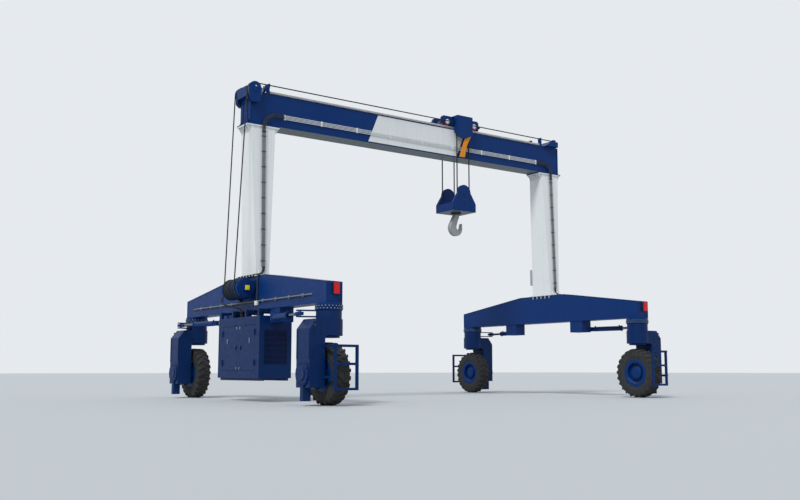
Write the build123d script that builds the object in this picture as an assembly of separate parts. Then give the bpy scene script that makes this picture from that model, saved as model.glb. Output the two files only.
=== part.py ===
from build123d import *
import os
from math import atan2, cos, degrees, hypot, pi, radians, sin, sqrt

os.makedirs("parts", exist_ok=True)

# Rubber tyred gantry crane. X runs along the main girder, Y is the travel
# direction with the sign facing -Y, Z is up from the ground. Millimetres.

# Driving dimensions: stance
TRACK = 13900
WHEELBASE = 9930
RUN = 0.05          # radial gap of a shaft turning in its hole
SEAT = 0.3          # gap where a curved face rests on another
SWING = 8           # least gap between pieces that pass each other
PLATE_T = 40
RIB_T = 20

# Wheels
TYRE_D = 1875
TYRE_W = 500
RIM_D = 985
RIM_W = 400
RIM_FLANGE_D = 1050
DISH_D = 770
DISH_DEPTH = 120
DISC_T = 40
HUB_D = 470
SPINDLE_D = 180
SPINDLE_PAST = 100
HUB_HOUSING_R = 335
HUB_HOUSING_END = 100
BEAD_RISE = 60

# Tread blocks: one on each facet of the tyre, left and right by turns
TYRE_FACETS = 36
TREAD_DEPTH = 38
TREAD_T = 95
TREAD_SKEW = 110
TREAD_OUT = 6

# Carriage beams
BEAM_W = 540
BEAM_L = 10540
BEAM_BOTTOM = 3050
BEAM_END_TOP = 3680
BEAM_TOP = 4210
BEAM_FLAT_L = 2640
BEAM_LIP = 15
BEAM_PLATE_T = 20
LAMP_OFF = 30
LAMP_DROP = 45
LAMP_W = 180
LAMP_H = 330
LAMP_DEPTH = 110

# Legs
LEG_TOP_X = 960
LEG_TOP_Y = 745
LEG_FOOT_X = 480
LEG_FOOT_Y = 1105
LEG_CAP_X = 1260
LEG_CAP_Y = 815
LEG_FOOT_PLATE_X = 640
LEG_FOOT_PLATE_Y = 1260
RIB_H = 260
SEAT_GUSSET_PITCH = 220
SEAT_GUSSET_H = 170
CABINET_W = 420
CABINET_H = 680
CABINET_DEPTH = 200
CABINET_ABOVE_BEAM = 510

# Main girder
GIRDER_W = 725
GIRDER_L = 14930
GIRDER_BOTTOM = 9580
GIRDER_H = 1170
FLANGE_T = 25
FLANGE_LIP = 20
END_PLATE_T = 40
END_RIB_OUT = 25
RAIL_GAUGE = 580
RAIL_H = 95
RAIL_W = 70
RAIL_BASE_W = 130
STOP_FROM_LEFT_END = 765
STOP_FROM_RIGHT_END = 1025
STOP_H = 350
STOP_W = 180
STOP_FOOT = 125
STOP_PAD_T = 25
STOP_PAD_W = 140
SIGN_X0 = -2530
SIGN_X1 = 1750
SIGN_LEAN = 440
SIGN_MARGIN = 50
SIGN_T = 12

# Rope path
ROPE_D = 42
ROPE_Y = 480
SHEAVE_R = 280
SHEAVE_FROM_END = 105
SHEAVE_Z = 10720
SHEAVE_W = 70
SHEAVE_PIN_D = 110
SHEAVE_SIDE_GAP = 12
CHEEK_W = 450
CHEEK_RISE = 320
CHEEK_DROP = 450
CHEEK_CORNER = 110
CHEEK_PLATE_T = 25
CROSS_DROP = 230
CROSS_RISE = 130
PIN_BOSS_R = 85
PIN_BOSS_T = 12
ANCHOR_PAST_END = -130
ANCHOR_L = 705
ANCHOR_RISE_L = 300
ANCHOR_W = 1100
SOCKET_FROM_END = 400
SOCKET_L = 160
SOCKET_H = 80
SOCKET_HALF_W = 45

# Winch on the outer face of the left beam
DRUM_R = 300
DRUM_FLANGE_R = 365
DRUM_FLANGE_T = 25
DRUM_HALF_L = 480
DRUM_ROPE_Y = 380
DRUM_GAP = 20
DRUM_Z = 3785
DRUM_SHAFT_D = 120
STAND_T = 45
STAND_FOOT_H = 400
STAND_HEAD_R = 130
MOTOR_R = 340
MOTOR_L = 90
MOTOR_STEP = 25
MOTOR_CAP = 200

# Power pack hung under the left beam
PACK_W = 1180
PACK_L = 3160
PACK_BOTTOM = 775
PACK_TOP = 2820
PACK_WALL = 30
DOOR_T = 25
DOOR_L = 1180
DOOR_H = 1500
DOOR_FROM_MIDDLE = 60
DOOR_SILL = 260
HINGE_OUT = 22
HINGE_R = 17
HINGE_PIN_R = 9
HINGE_L = 200
HINGE_FROM_EDGE = 250
HANDLE_FROM_EDGE = 120
HANDLE_W = 40
HANDLE_L = 120
GRILLE_W = 830
GRILLE_H = 1090
GRILLE_BOTTOM = 1250
GRILLE_DEPTH = 18
GRILLE_SLATS = 12
HANGER_T = 100
HANGER_SHARES = (0.32, 0.92)
TANK_W = 520
TANK_L = 520
SKID_W = 100
SKID_H = 80
ENGINE_INSET = 230
ENGINE_H = 1150

# Cable tray on the girder's front, cables down the legs
TRAY_Z = 9960
TRAY_TO_LEG = 800
TRAY_HALF_H = 85
TRAY_PLATE_T = 8
TRAY_TUBE_R = 17
TRAY_PITCH = 44
TRAY_CLAMPS = 9
CLAMP_HALF_L = 30
BUNDLE_W = 140
BUNDLE_T = 60
BUNDLE_BEND_R = 450
BUNDLE_ABOVE_BEAM = 330

# Trolley
TROLLEY_X = 1985
TROLLEY_L = 1900
FRAME_W = 130
FRAME_H = 400
FRAME_ABOVE_RAIL = 30
NOSE_CUT = 70
TRUCK_WHEEL_D = 330
TRUCK_WHEEL_W = 90
TRUCK_PIN_D = 60
TRUCK_BASE = 1400
TRUCK_CAP_R = 80
TRUCK_CAP_T = 12
BUFFER_L = 90
BUFFER_R = 60
CROSS_BAR_X = 420
CROSS_BAR_W = 120
HOUSING_W = 790
HOUSING_PLATE_T = 30
HOUSING_DROP = 200
HOUSING_Y_IN = 430
HOUSING_Y_OUT = 645
ROPE_SLOT_GAP = 17
SKIRT_T = 40
SKIRT_MIN = 20
SKIRT_MAX = 220
STRAP_TOP_X = 85
STRAP_TOP_W = 140
STRAP_FOOT_X = -265
STRAP_FOOT_W = 265
STRAP_T = 30

# Hook block and hook
HOOK_X = 1985
FALL_GAP = 620
FALL_END_Z = 7900
BLOCK_L = 1170
BLOCK_W = 1120
BLOCK_BOTTOM = 7375
BLOCK_TOP = 8450
BLOCK_BASE_H = 330
DOME_R = 320
CHEEK_T = 110
COLLAR_R = 200
COLLAR_H = 70
SHANK_R = 60
SHANK_IN = 90
NECK_HALF = 105
HOOK_BOTTOM = 6425
HOOK_OUT_R = 320
HOOK_BACK = 50
HOOK_IN_R = 112
HOOK_IN_X = 75
HOOK_IN_RISE = 45
HOOK_TIP_H = 200
HOOK_TIP_W = 36
HOOK_T = 170
HOOK_BEVEL = 15

# Steering units
RING_D = 840
RING_SPLIT = 2985
RING_BOTTOM = 2840
RING_FLARE = 40
COLUMN_D = 780
HEAD_R = 420
HEAD_TOP = 2550
HEAD_BOTTOM = 2060
HEAD_BOSS_H = 60
ARM_IN = 350
ARM_OUT = 870
ARM_HALF_Y = 395
ARM_BOTTOM = 530
ARM_CORNER_R = 130
ARM_CHAMFER_X = 230
ARM_CHAMFER_Z = 290
WEDGE_W = 280
WEDGE_H = 55
CAP_R = 370
CAP_OUT = 920
CAP_STEP = 15
FOOT_IN = 645
FOOT_HALF_Y = 90
FOOT_BOTTOM = 140
GUARD_Y = 1000
GUARD_TUBE = 75
GUARD_HALF_X = 410
GUARD_BOTTOM = 460
GUARD_MID = 1220
GUARD_TOP = 1780

# Steering cylinders, in the frame of one corner: out is away from the
# middle of the crane along X, in is towards the middle along Y
CYL_Z = 2720
EYE_OUT = 800
EYE_IN = 350
PIVOT_OUT = 420
PIVOT_IN = 2765
BARREL_D = 190
BARREL_L = 1450
ROD_D = 100
ROD_IN_BARREL = 700
EYE_D = 230
EYE_T = 90
PIVOT_BOSS_R = 90
BARREL_FROM = 130
BARREL_END_T = 70
TAIL_HALF_W = 60
GLAND_OUT = 12
GLAND_L = 60
EYE_PLAY = 5
LUG_GAP = 150
LUG_T = 35
BRACKET_IN_FROM = 1640
BRACKET_BOTTOM = 2590
BRACKET_PAST_PIVOT = 110
PIVOT_LUG_R = 100
PIVOT_PIN_R = 40
PIVOT_SIDE_GAP = 6

# Derived places
WHEEL_X = TRACK / 2
AXLE_Y = WHEELBASE / 2
AXLE_Z = TYRE_D / 2 * cos(pi / TYRE_FACETS)   # a tyre stands on the flat between two block corners
SHEAVE_X = SHEAVE_FROM_END - GIRDER_L / 2
ANCHOR_END_X = GIRDER_L / 2 + ANCHOR_PAST_END
ANCHOR_X = ANCHOR_END_X - ANCHOR_L
ANCHOR_RISE_X = ANCHOR_X + ANCHOR_RISE_L
SOCKET_X = GIRDER_L / 2 - SOCKET_FROM_END
STOP_LEFT_X = STOP_FROM_LEFT_END - GIRDER_L / 2
STOP_RIGHT_X = GIRDER_L / 2 - STOP_FROM_RIGHT_END
TRAY_HALF_L = WHEEL_X - TRAY_TO_LEG
GIRDER_TOP = GIRDER_BOTTOM + GIRDER_H
RAIL_TOP = GIRDER_TOP + RAIL_H
ROPE_R = ROPE_D / 2
GROOVE = 20
ROPE_BEND_R = SHEAVE_R - GROOVE + ROPE_R + SEAT
ROPE_Z = SHEAVE_Z + ROPE_BEND_R
DRUM_X = -(WHEEL_X + BEAM_W / 2 + DRUM_GAP + DRUM_FLANGE_R)
CHEEK_TOP = SHEAVE_Z + CHEEK_RISE
CROSS_BOTTOM = GIRDER_TOP - CROSS_DROP
CROSS_TOP = GIRDER_TOP + CROSS_RISE
TROLLEY_TOP = RAIL_TOP + FRAME_H
TRUCK_AXLE_Z = RAIL_TOP + TRUCK_WHEEL_D / 2 + SEAT
BUFFER_Z = GIRDER_TOP + STOP_H - STOP_PAD_W / 2
HOOK_H = BLOCK_BOTTOM - HOOK_BOTTOM


def save(shape, name):
    export_step(shape, "parts/" + name + ".step")


def box(x0, x1, y0, y1, z0, z1):
    """A block between two corners."""
    low = (min(x0, x1), min(y0, y1), min(z0, z1))
    size = (abs(x1 - x0), abs(y1 - y0), abs(z1 - z0))
    return Location(low) * Box(*size, align=(Align.MIN, Align.MIN, Align.MIN))


def rod_x(r, x0, x1, y, z):
    """A round bar along X."""
    bar = Cylinder(r, abs(x1 - x0))
    return Location(((x0 + x1) / 2, y, z), (0, 90, 0)) * bar


def rod_y(r, y0, y1, x, z):
    """A round bar along Y."""
    bar = Cylinder(r, abs(y1 - y0))
    return Location((x, (y0 + y1) / 2, z), (90, 0, 0)) * bar


def rod_z(r, z0, z1, x, y):
    """A round bar along Z."""
    bar = Cylinder(r, abs(z1 - z0))
    return Location((x, y, (z0 + z1) / 2)) * bar


def plate_xz(points, y0, y1):
    """A plate with an outline in X and Z, between two Y planes."""
    face = make_face(Polyline(*[(x, 0, z) for x, z in points], close=True))
    return Location((0, y0, 0)) * extrude(face, amount=y1 - y0, dir=(0, 1, 0))


def plate_yz(points, x0, x1):
    """A plate with an outline in Y and Z, between two X planes."""
    face = make_face(Polyline(*[(0, y, z) for y, z in points], close=True))
    return Location((x0, 0, 0)) * extrude(face, amount=x1 - x0, dir=(1, 0, 0))


# Main girder: box, flanges and end plates
def main_girder():
    half = GIRDER_L / 2
    web = GIRDER_W / 2
    body = box(-half, half, -web, web, GIRDER_BOTTOM, GIRDER_TOP)
    lip = web + FLANGE_LIP
    for z in (GIRDER_BOTTOM, GIRDER_TOP - FLANGE_T):
        body += box(-half, half, -lip, lip, z, z + FLANGE_T)
    for end in (-1, 1):
        face = end * half
        body += box(face, face - end * END_PLATE_T, -lip, lip, GIRDER_BOTTOM, GIRDER_TOP)
        for y in (-web / 2, web / 2):
            body += box(face, face + end * END_RIB_OUT, y - RIB_T / 2, y + RIB_T / 2,
                        GIRDER_BOTTOM, CROSS_BOTTOM - END_RIB_OUT)
    return body


def trolley_rails():
    """Two flat-bottomed crane rails on the girder's top."""
    half_b = RAIL_BASE_W / 2
    half_h = RAIL_W / 2
    base_t = 18
    web = 12
    head = 32
    z0 = GIRDER_TOP
    z1 = RAIL_TOP
    outline = [
        (-half_b, z0), (half_b, z0), (half_b, z0 + base_t), (web, z0 + base_t + 10),
        (web, z1 - head - 8), (half_h, z1 - head), (half_h, z1), (-half_h, z1),
        (-half_h, z1 - head), (-web, z1 - head - 8), (-web, z0 + base_t + 10),
        (-half_b, z0 + base_t),
    ]
    left_end = STOP_LEFT_X + SWING
    right_end = STOP_RIGHT_X - SWING
    rails = []
    for side in (-1, 1):
        y = side * RAIL_GAUGE / 2
        shifted = [(y + py, pz) for py, pz in outline]
        rails.append(plate_yz(shifted, left_end, right_end))
    return Compound(children=rails)


def rail_stops():
    """A braced plate with a rubber pad at each end of each rail."""
    stops = []
    for end, pad in ((-1, STOP_LEFT_X), (1, STOP_RIGHT_X)):
        for side in (-1, 1):
            y = side * RAIL_GAUGE / 2
            x = pad + end * STOP_PAD_T
            foot = pad + end * STOP_FOOT
            back = x + end * PLATE_T
            z = GIRDER_TOP
            top = z + STOP_H
            stop = box(x, back, y - STOP_W / 2, y + STOP_W / 2, z, top)
            stop += plate_xz([(x, z), (foot, z), (back, top)], y - RIB_T / 2, y + RIB_T / 2)
            stop += box(pad, x, y - STOP_PAD_W / 2, y + STOP_PAD_W / 2, top - STOP_PAD_W, top)
            stops.append(stop)
    return Compound(children=stops)


# Rope guide at the left end: cheeks, cross box, cover, sheaves on one shaft
def sheave_bracket():
    """Round-topped cheeks on both sides, one cross box over the girder's end, a pin for each sheave."""
    half = CHEEK_W / 2
    base = GIRDER_TOP - CHEEK_DROP
    crown_z = CHEEK_TOP - half
    lip = GIRDER_W / 2 + FLANGE_LIP
    gap = SHEAVE_W / 2 + SHEAVE_SIDE_GAP
    far = ROPE_Y + gap + CHEEK_PLATE_T
    cut = CHEEK_CORNER
    outline = [(SHEAVE_X - half, base + cut), (SHEAVE_X - half + cut, base), (SHEAVE_X + half - cut, base),
               (SHEAVE_X + half, base + cut), (SHEAVE_X + half, crown_z), (SHEAVE_X - half, crown_z)]
    end = -GIRDER_L / 2
    cross_out = SHEAVE_X - CHEEK_W / 2 - PLATE_T
    bracket = plate_xz([(cross_out, CROSS_BOTTOM), (end, CROSS_BOTTOM), (end, GIRDER_TOP),
                        (SHEAVE_X + half / 2, GIRDER_TOP), (SHEAVE_X + half / 2, CROSS_TOP),
                        (cross_out, CROSS_TOP)], -lip, lip)
    for side in (-1, 1):
        for inner, outer in ((lip, ROPE_Y - gap), (ROPE_Y + gap, far)):
            low = min(side * inner, side * outer)
            high = max(side * inner, side * outer)
            bracket += plate_xz(outline, low, high)
            bracket += rod_y(half, low, high, SHEAVE_X, crown_z)
        bracket += box(SHEAVE_X - half + cut, SHEAVE_X + half - cut, side * lip, side * far,
                       base, base + CHEEK_PLATE_T)
        bracket += rod_y(SHEAVE_PIN_D / 2, side * lip, side * (far + RIB_T), SHEAVE_X, SHEAVE_Z)
        bracket += rod_y(PIN_BOSS_R, side * far, side * (far + PIN_BOSS_T), SHEAVE_X, SHEAVE_Z)
    return bracket


def sheave_outline(radius, width, bore, groove):
    """Half section of a grooved sheave, radius against width."""
    w = width / 2
    return [
        (bore, -w), (radius * 0.42, -w), (radius * 0.46, -w * 0.45), (radius * 0.80, -w * 0.45),
        (radius * 0.84, -w), (radius + groove, -w), (radius, -w * 0.2), (radius, w * 0.2),
        (radius + groove, w), (radius * 0.84, w), (radius * 0.80, w * 0.45),
        (radius * 0.46, w * 0.45), (radius * 0.42, w), (bore, w),
    ]


def sheave_y(x, y, z, radius, width, bore, groove):
    """A sheave whose shaft lies along Y."""
    points = [(r, 0, w) for r, w in sheave_outline(radius, width, bore, groove)]
    ring = revolve(make_face(Polyline(*points, close=True)), Axis.Z)
    return Location((x, y, z), (90, 0, 0)) * ring


def end_sheaves():
    bore = SHEAVE_PIN_D / 2 + RUN
    return [sheave_y(SHEAVE_X, side * ROPE_Y, SHEAVE_Z, SHEAVE_R - GROOVE, SHEAVE_W, bore, GROOVE)
            for side in (-1, 1)]


def rope_anchor():
    """A wedge-shaped bracket on the right end with a socket for each rope."""
    z0 = GIRDER_TOP
    z1 = ROPE_Z - ROPE_R - SEAT
    half = ANCHOR_W / 2
    outline = [(ANCHOR_X, z0), (ANCHOR_END_X, z0), (ANCHOR_END_X, z1), (ANCHOR_RISE_X, z1)]
    bracket = plate_xz(outline, -half, half)
    for side in (-1, 1):
        y = side * ROPE_Y
        bracket += box(SOCKET_X, SOCKET_X + SOCKET_L, y - SOCKET_HALF_W, y + SOCKET_HALF_W,
                       z1, z1 + SOCKET_H)
    return bracket


def hoist_ropes():
    """Both ropes: up from the drum, over the end sheave, along to the anchor."""
    drop_x = SHEAVE_X - ROPE_BEND_R
    drum_x = DRUM_X - DRUM_R - ROPE_R - SEAT
    ropes = []
    for side in (-1, 1):
        y = side * ROPE_Y
        drum_y = side * DRUM_ROPE_Y
        line = Line((drum_x, drum_y, DRUM_Z), (drop_x, y, SHEAVE_Z))
        start = Plane(origin=(drum_x, drum_y, DRUM_Z), z_dir=line % 0)
        ropes.append(sweep(start * Circle(ROPE_R), Wire([line])))
        ropes.append(revolve(Location((drop_x, y, SHEAVE_Z)) * Circle(ROPE_R),
                             Axis((SHEAVE_X, y, SHEAVE_Z), (0, 1, 0)), 90))
        ropes.append(rod_x(ROPE_R, SHEAVE_X, SOCKET_X, y, ROPE_Z))
    return ropes


# Sign and cables on the girder
def sign_panel():
    """A blank leaning board on the girder's front."""
    y = -GIRDER_W / 2
    low = GIRDER_BOTTOM + SIGN_MARGIN
    high = GIRDER_TOP - SIGN_MARGIN
    outline = [(SIGN_X0, low), (SIGN_X1, low), (SIGN_X1 + SIGN_LEAN, high), (SIGN_X0 + SIGN_LEAN, high)]
    return plate_xz(outline, y - SIGN_T, y)


def cable_tray():
    """Four tubes in clamps along the girder's front, over the sign."""
    y = -GIRDER_W / 2 - SIGN_T
    z = TRAY_Z
    end = TRAY_HALF_L
    tray = box(-end, end, y - TRAY_PLATE_T, y, z - TRAY_HALF_H, z + TRAY_HALF_H)
    for row in range(4):
        tray += rod_x(TRAY_TUBE_R, -end, end, y - TRAY_PLATE_T - TRAY_TUBE_R + 4,
                      z + (row - 1.5) * TRAY_PITCH)
    clamp_out = TRAY_PLATE_T + 2 * TRAY_TUBE_R
    for step in range(TRAY_CLAMPS):
        x = (2 * step / (TRAY_CLAMPS - 1) - 1) * (end - CLAMP_HALF_L)
        tray += box(x - CLAMP_HALF_L, x + CLAMP_HALF_L, y - clamp_out, y,
                    z - TRAY_HALF_H - 10, z + TRAY_HALF_H + 10)
    return tray


def leg_half_y(z):
    """Half width of a leg along Y at a height."""
    low = BEAM_TOP + PLATE_T
    share = (z - low) / (GIRDER_BOTTOM - 2 * PLATE_T - low)
    return (LEG_FOOT_Y + (LEG_TOP_Y - LEG_FOOT_Y) * share) / 2


def cable_bundle(side):
    """Cables from the tray round a quarter bend and down the front of one leg."""
    x = side * WHEEL_X
    half = BUNDLE_W / 2
    high = GIRDER_BOTTOM - 2 * BUNDLE_W
    low = BEAM_TOP + BUNDLE_ABOVE_BEAM
    y_high = -LEG_CAP_Y / 2 - SWING
    y_low = -leg_half_y(low) - SWING
    y_front = y_high - BUNDLE_T
    bend_x = x - side * BUNDLE_BEND_R
    bend_z = TRAY_Z - BUNDLE_BEND_R
    bundle = box(bend_x, side * TRAY_HALF_L, y_front, y_high, TRAY_Z - half, TRAY_Z + half)
    bend = rod_y(BUNDLE_BEND_R + half, y_front, y_high, bend_x, bend_z)
    bend -= rod_y(BUNDLE_BEND_R - half, y_front - 1, y_high + 1, bend_x, bend_z)
    bundle += bend & box(bend_x, x + side * half, y_front, y_high, bend_z, TRAY_Z + half)
    return bundle + plate_yz([(y_high, bend_z), (y_front, bend_z), (y_front, high),
                              (y_low - BUNDLE_T, low), (y_low, low), (y_high, high)], x - half, x + half)


# One leg: tapered box column with flanges and ribs
def side_ribs(x, half_x, edge_x, half_y, edge_y, z, rise):
    """Ribs between a leg's flange and its walls: five or so on each side."""
    ribs = None
    deep = RIB_T
    for way in (-1, 1):
        for step in range(5):
            y = (step - 2) * half_y * 0.42
            wall = x + way * (half_x - deep)
            rib = plate_xz([(wall, z), (x + way * edge_x, z), (wall, z + rise)],
                           y - RIB_T / 2, y + RIB_T / 2)
            ribs = rib if ribs is None else ribs + rib
        for step in range(3):
            rib_x = x + (step - 1) * half_x * 0.62
            wall = way * (half_y - deep)
            ribs += plate_yz([(wall, z), (way * edge_y, z), (wall, z + rise * 0.75)],
                             rib_x - RIB_T / 2, rib_x + RIB_T / 2)
    return ribs


def leg(side):
    x = side * WHEEL_X
    z0 = BEAM_TOP + PLATE_T
    z1 = GIRDER_BOTTOM - 2 * PLATE_T
    foot = Plane(origin=(x, 0, z0)) * Rectangle(LEG_FOOT_X, LEG_FOOT_Y)
    head = Plane(origin=(x, 0, z1)) * Rectangle(LEG_TOP_X, LEG_TOP_Y)
    column = loft([foot, head])
    base = LEG_FOOT_PLATE_X / 2
    base_y = LEG_FOOT_PLATE_Y / 2
    cap = LEG_CAP_X / 2
    cap_y = LEG_CAP_Y / 2
    column += box(x - base, x + base, -base_y, base_y, BEAM_TOP, z0)
    column += box(x - cap, x + cap, -cap_y, cap_y, z1, z1 + PLATE_T)
    column += side_ribs(x, LEG_FOOT_X / 2, base, LEG_FOOT_Y / 2, base_y, z0, RIB_H)
    column += side_ribs(x, LEG_TOP_X / 2, cap, LEG_TOP_Y / 2, cap_y, z1, -RIB_H)
    return column


def leg_seat(side):
    """The girder's own flange over a leg, with gussets up its webs and its end plate."""
    x = side * WHEEL_X
    z0 = GIRDER_BOTTOM - PLATE_T
    cap = LEG_CAP_X / 2
    cap_y = LEG_CAP_Y / 2
    web = GIRDER_W / 2
    end = GIRDER_L / 2
    seat = box(x - cap, x + cap, -cap_y, cap_y, z0, GIRDER_BOTTOM)
    for way in (-1, 1):
        for step in range(4):
            gusset_x = x + (step - 1.5) * SEAT_GUSSET_PITCH
            seat += plate_yz([(way * (web - 1), z0), (way * cap_y, z0),
                              (way * (web - 1), GIRDER_BOTTOM + SEAT_GUSSET_H)],
                             gusset_x - RIB_T / 2, gusset_x + RIB_T / 2)
    for step in range(3):
        y = (step - 1) * web * 0.8
        seat += plate_xz([(side * (end - 1), z0), (x + side * cap, z0),
                          (side * (end - 1), GIRDER_BOTTOM + SEAT_GUSSET_H)],
                         y - RIB_T / 2, y + RIB_T / 2)
    return seat


# Carriage beam: tapered box with the cylinder brackets under it
def carriage_beam(side):
    x = side * WHEEL_X
    half = BEAM_L / 2
    flat = BEAM_FLAT_L / 2
    t = BEAM_PLATE_T
    web = BEAM_W / 2
    lip = web + BEAM_LIP
    outline = [(-half, BEAM_BOTTOM), (half, BEAM_BOTTOM), (half, BEAM_END_TOP),
               (flat, BEAM_TOP), (-flat, BEAM_TOP), (-half, BEAM_END_TOP)]
    beam = plate_yz(outline, x - web, x + web)
    beam += plate_yz([(-half, BEAM_END_TOP - t), (-flat, BEAM_TOP - t), (flat, BEAM_TOP - t),
                      (half, BEAM_END_TOP - t), (half, BEAM_END_TOP), (flat, BEAM_TOP),
                      (-flat, BEAM_TOP), (-half, BEAM_END_TOP)], x - lip, x + lip)
    beam += box(x - lip, x + lip, -half, half, BEAM_BOTTOM, BEAM_BOTTOM + t)
    bracket_half = web - BEAM_LIP
    for end in (-1, 1):
        beam += box(x - lip, x + lip, end * half, end * (half - t), BEAM_BOTTOM, BEAM_END_TOP)
        beam += rod_z(RING_D / 2 - BEAM_LIP, RING_SPLIT, BEAM_BOTTOM, x, end * AXLE_Y)
        near = end * (AXLE_Y - PIVOT_IN + BRACKET_PAST_PIVOT)
        far = end * BRACKET_IN_FROM
        beam += box(x - bracket_half, x + bracket_half, far, near, BRACKET_BOTTOM, BEAM_BOTTOM)
        pivot_x = x + side * PIVOT_OUT
        pivot_y = end * (AXLE_Y - PIVOT_IN)
        gap = EYE_T / 2 + PIVOT_SIDE_GAP
        for way in (-1, 1):
            z = CYL_Z + way * gap
            lug = box(x, pivot_x, pivot_y - PIVOT_LUG_R, pivot_y + PIVOT_LUG_R, z, z + way * LUG_T)
            lug += rod_z(PIVOT_LUG_R, min(z, z + way * LUG_T), max(z, z + way * LUG_T), pivot_x, pivot_y)
            beam += lug
        beam += rod_z(PIVOT_PIN_R, CYL_Z - gap - LUG_T, CYL_Z + gap + LUG_T, pivot_x, pivot_y)
    return beam


def travel_lamps():
    """Red box lamps at the top of the front ends of both beams."""
    lamps = []
    y = -BEAM_L / 2
    for side in (-1, 1):
        x = side * WHEEL_X + LAMP_OFF
        z = BEAM_END_TOP - LAMP_DROP
        lamps.append(box(x - LAMP_W / 2, x + LAMP_W / 2, y - LAMP_DEPTH, y, z - LAMP_H, z))
    return lamps


# Power pack: casing with two doors on its outer side, and the engine block
def pack_frame_box():
    return (-WHEEL_X - PACK_W / 2, -WHEEL_X + PACK_W / 2, -PACK_L / 2, PACK_L / 2)


def door_centre(end):
    return end * (DOOR_L / 2 + DOOR_FROM_MIDDLE)


def door_hinges(end, on_door):
    """Two knuckle hinges: the door's middle knuckle or the casing's outer ones with the pin."""
    x = pack_frame_box()[0] - HINGE_OUT
    y = door_centre(end) + end * (DOOR_L - SWING) / 2
    reach = 30
    middle = HINGE_L * 0.2
    sill = PACK_BOTTOM + DOOR_SILL
    pieces = None
    for z in (sill + HINGE_FROM_EDGE, sill + DOOR_H - HINGE_FROM_EDGE):
        if on_door:
            spans = [(z - middle, z + middle)]
            toward = -end
        else:
            spans = [(z - HINGE_L / 2, z - middle - 3), (z + middle + 3, z + HINGE_L / 2)]
            toward = end
        for low, high in spans:
            knuckle_piece = rod_z(HINGE_R, low, high, x, y)
            knuckle_piece += box(x, x + HINGE_OUT, y, y + toward * reach, low, high)
            pieces = knuckle_piece if pieces is None else pieces + knuckle_piece
        if on_door:
            pieces -= rod_z(HINGE_PIN_R + RUN, z - HINGE_L / 2, z + HINGE_L / 2, x, y)
        else:
            pieces += rod_z(HINGE_PIN_R, z - HINGE_L / 2, z + HINGE_L / 2, x, y)
    return pieces


def grille(casing, y_face, way):
    """A louvred opening sunk into one end of the casing."""
    x0 = -WHEEL_X - GRILLE_W / 2
    x1 = -WHEEL_X + GRILLE_W / 2
    top = GRILLE_BOTTOM + GRILLE_H
    back = y_face - way * GRILLE_DEPTH
    casing -= box(x0, x1, back, y_face + way, GRILLE_BOTTOM, top)
    pitch = GRILLE_H / GRILLE_SLATS
    for step in range(GRILLE_SLATS):
        z = GRILLE_BOTTOM + (step + 0.25) * pitch
        slat = [(back, z + pitch / 2), (back, z + pitch / 4), (y_face, z), (y_face, z + pitch / 4)]
        casing += plate_yz(slat, x0, x1)
    return casing


def power_pack_casing():
    x0, x1, y0, y1 = pack_frame_box()
    casing = box(x0, x1, y0, y1, PACK_BOTTOM, PACK_TOP)
    casing -= box(x0 + PACK_WALL, x1 - PACK_WALL, y0 + PACK_WALL, y1 - PACK_WALL,
                  PACK_BOTTOM + PACK_WALL, PACK_TOP - PACK_WALL)
    low = PACK_BOTTOM + DOOR_SILL
    for end in (-1, 1):
        centre = door_centre(end)
        casing -= box(x0 - 1, x0 + PACK_WALL + 1, centre - DOOR_L / 2, centre + DOOR_L / 2,
                      low, low + DOOR_H)
        casing += door_hinges(end, False)
        casing = grille(casing, end * PACK_L / 2, end)
        for share in HANGER_SHARES:
            y = end * share * PACK_L / 2
            casing += box(x0, x1, y - HANGER_T / 2, y + HANGER_T / 2, BEAM_BOTTOM - HANGER_T, BEAM_BOTTOM)
            for x in (x0, -WHEEL_X - HANGER_T / 2, x1 - HANGER_T):
                casing += box(x, x + HANGER_T, y - HANGER_T / 2, y + HANGER_T / 2, PACK_TOP, BEAM_BOTTOM)
    tank_y = HANGER_SHARES[0] * PACK_L / 2
    casing += box(x0 + HANGER_T, x0 + TANK_W, tank_y + HANGER_T, tank_y + TANK_L,
                  PACK_TOP, BEAM_BOTTOM - HANGER_T - SWING)
    for x in (x0 + SKID_W, x1 - 2 * SKID_W):
        casing += box(x, x + SKID_W, y0, y1, PACK_BOTTOM - SKID_H, PACK_BOTTOM)
    return casing


def power_pack_door(end):
    x0 = pack_frame_box()[0]
    centre = door_centre(end)
    low = PACK_BOTTOM + DOOR_SILL
    half = DOOR_L / 2 - SWING
    door = box(x0, x0 + DOOR_T, centre - half, centre + half, low + SWING, low + DOOR_H - SWING)
    handle_y = centre - end * (half - HANDLE_FROM_EDGE)
    middle = low + DOOR_H / 2
    door += box(x0 - HINGE_OUT, x0, handle_y - HANDLE_W / 2, handle_y + HANDLE_W / 2,
                middle - HANDLE_L / 2, middle + HANDLE_L / 2)
    return door + door_hinges(end, True)


def power_pack_engine():
    x0, x1, y0, y1 = pack_frame_box()
    z = PACK_BOTTOM + PACK_WALL
    return box(x0 + ENGINE_INSET, x1 - ENGINE_INSET, y0 + 2 * ENGINE_INSET, y1 - 3 * ENGINE_INSET,
               z, z + ENGINE_H)


# Winch: drum on a shaft between two stands on the beam's outer face
def drum():
    """Drum turned in one piece: flanges at both ends and in the middle, rounded at their rims."""
    half = DRUM_HALF_L
    t = DRUM_FLANGE_T
    bore = DRUM_SHAFT_D / 2 + RUN
    rim_r = DRUM_FLANGE_R
    points = [(bore, -half), (rim_r, -half), (rim_r, t - half), (DRUM_R, t - half), (DRUM_R, -t / 2),
              (rim_r, -t / 2), (rim_r, t / 2), (DRUM_R, t / 2), (DRUM_R, half - t), (rim_r, half - t),
              (rim_r, half), (bore, half)]
    body = revolve(make_face(Polyline(*[(r, 0, y) for r, y in points], close=True)), Axis.Z)
    return Location((DRUM_X, 0, DRUM_Z), (90, 0, 0)) * body


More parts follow.
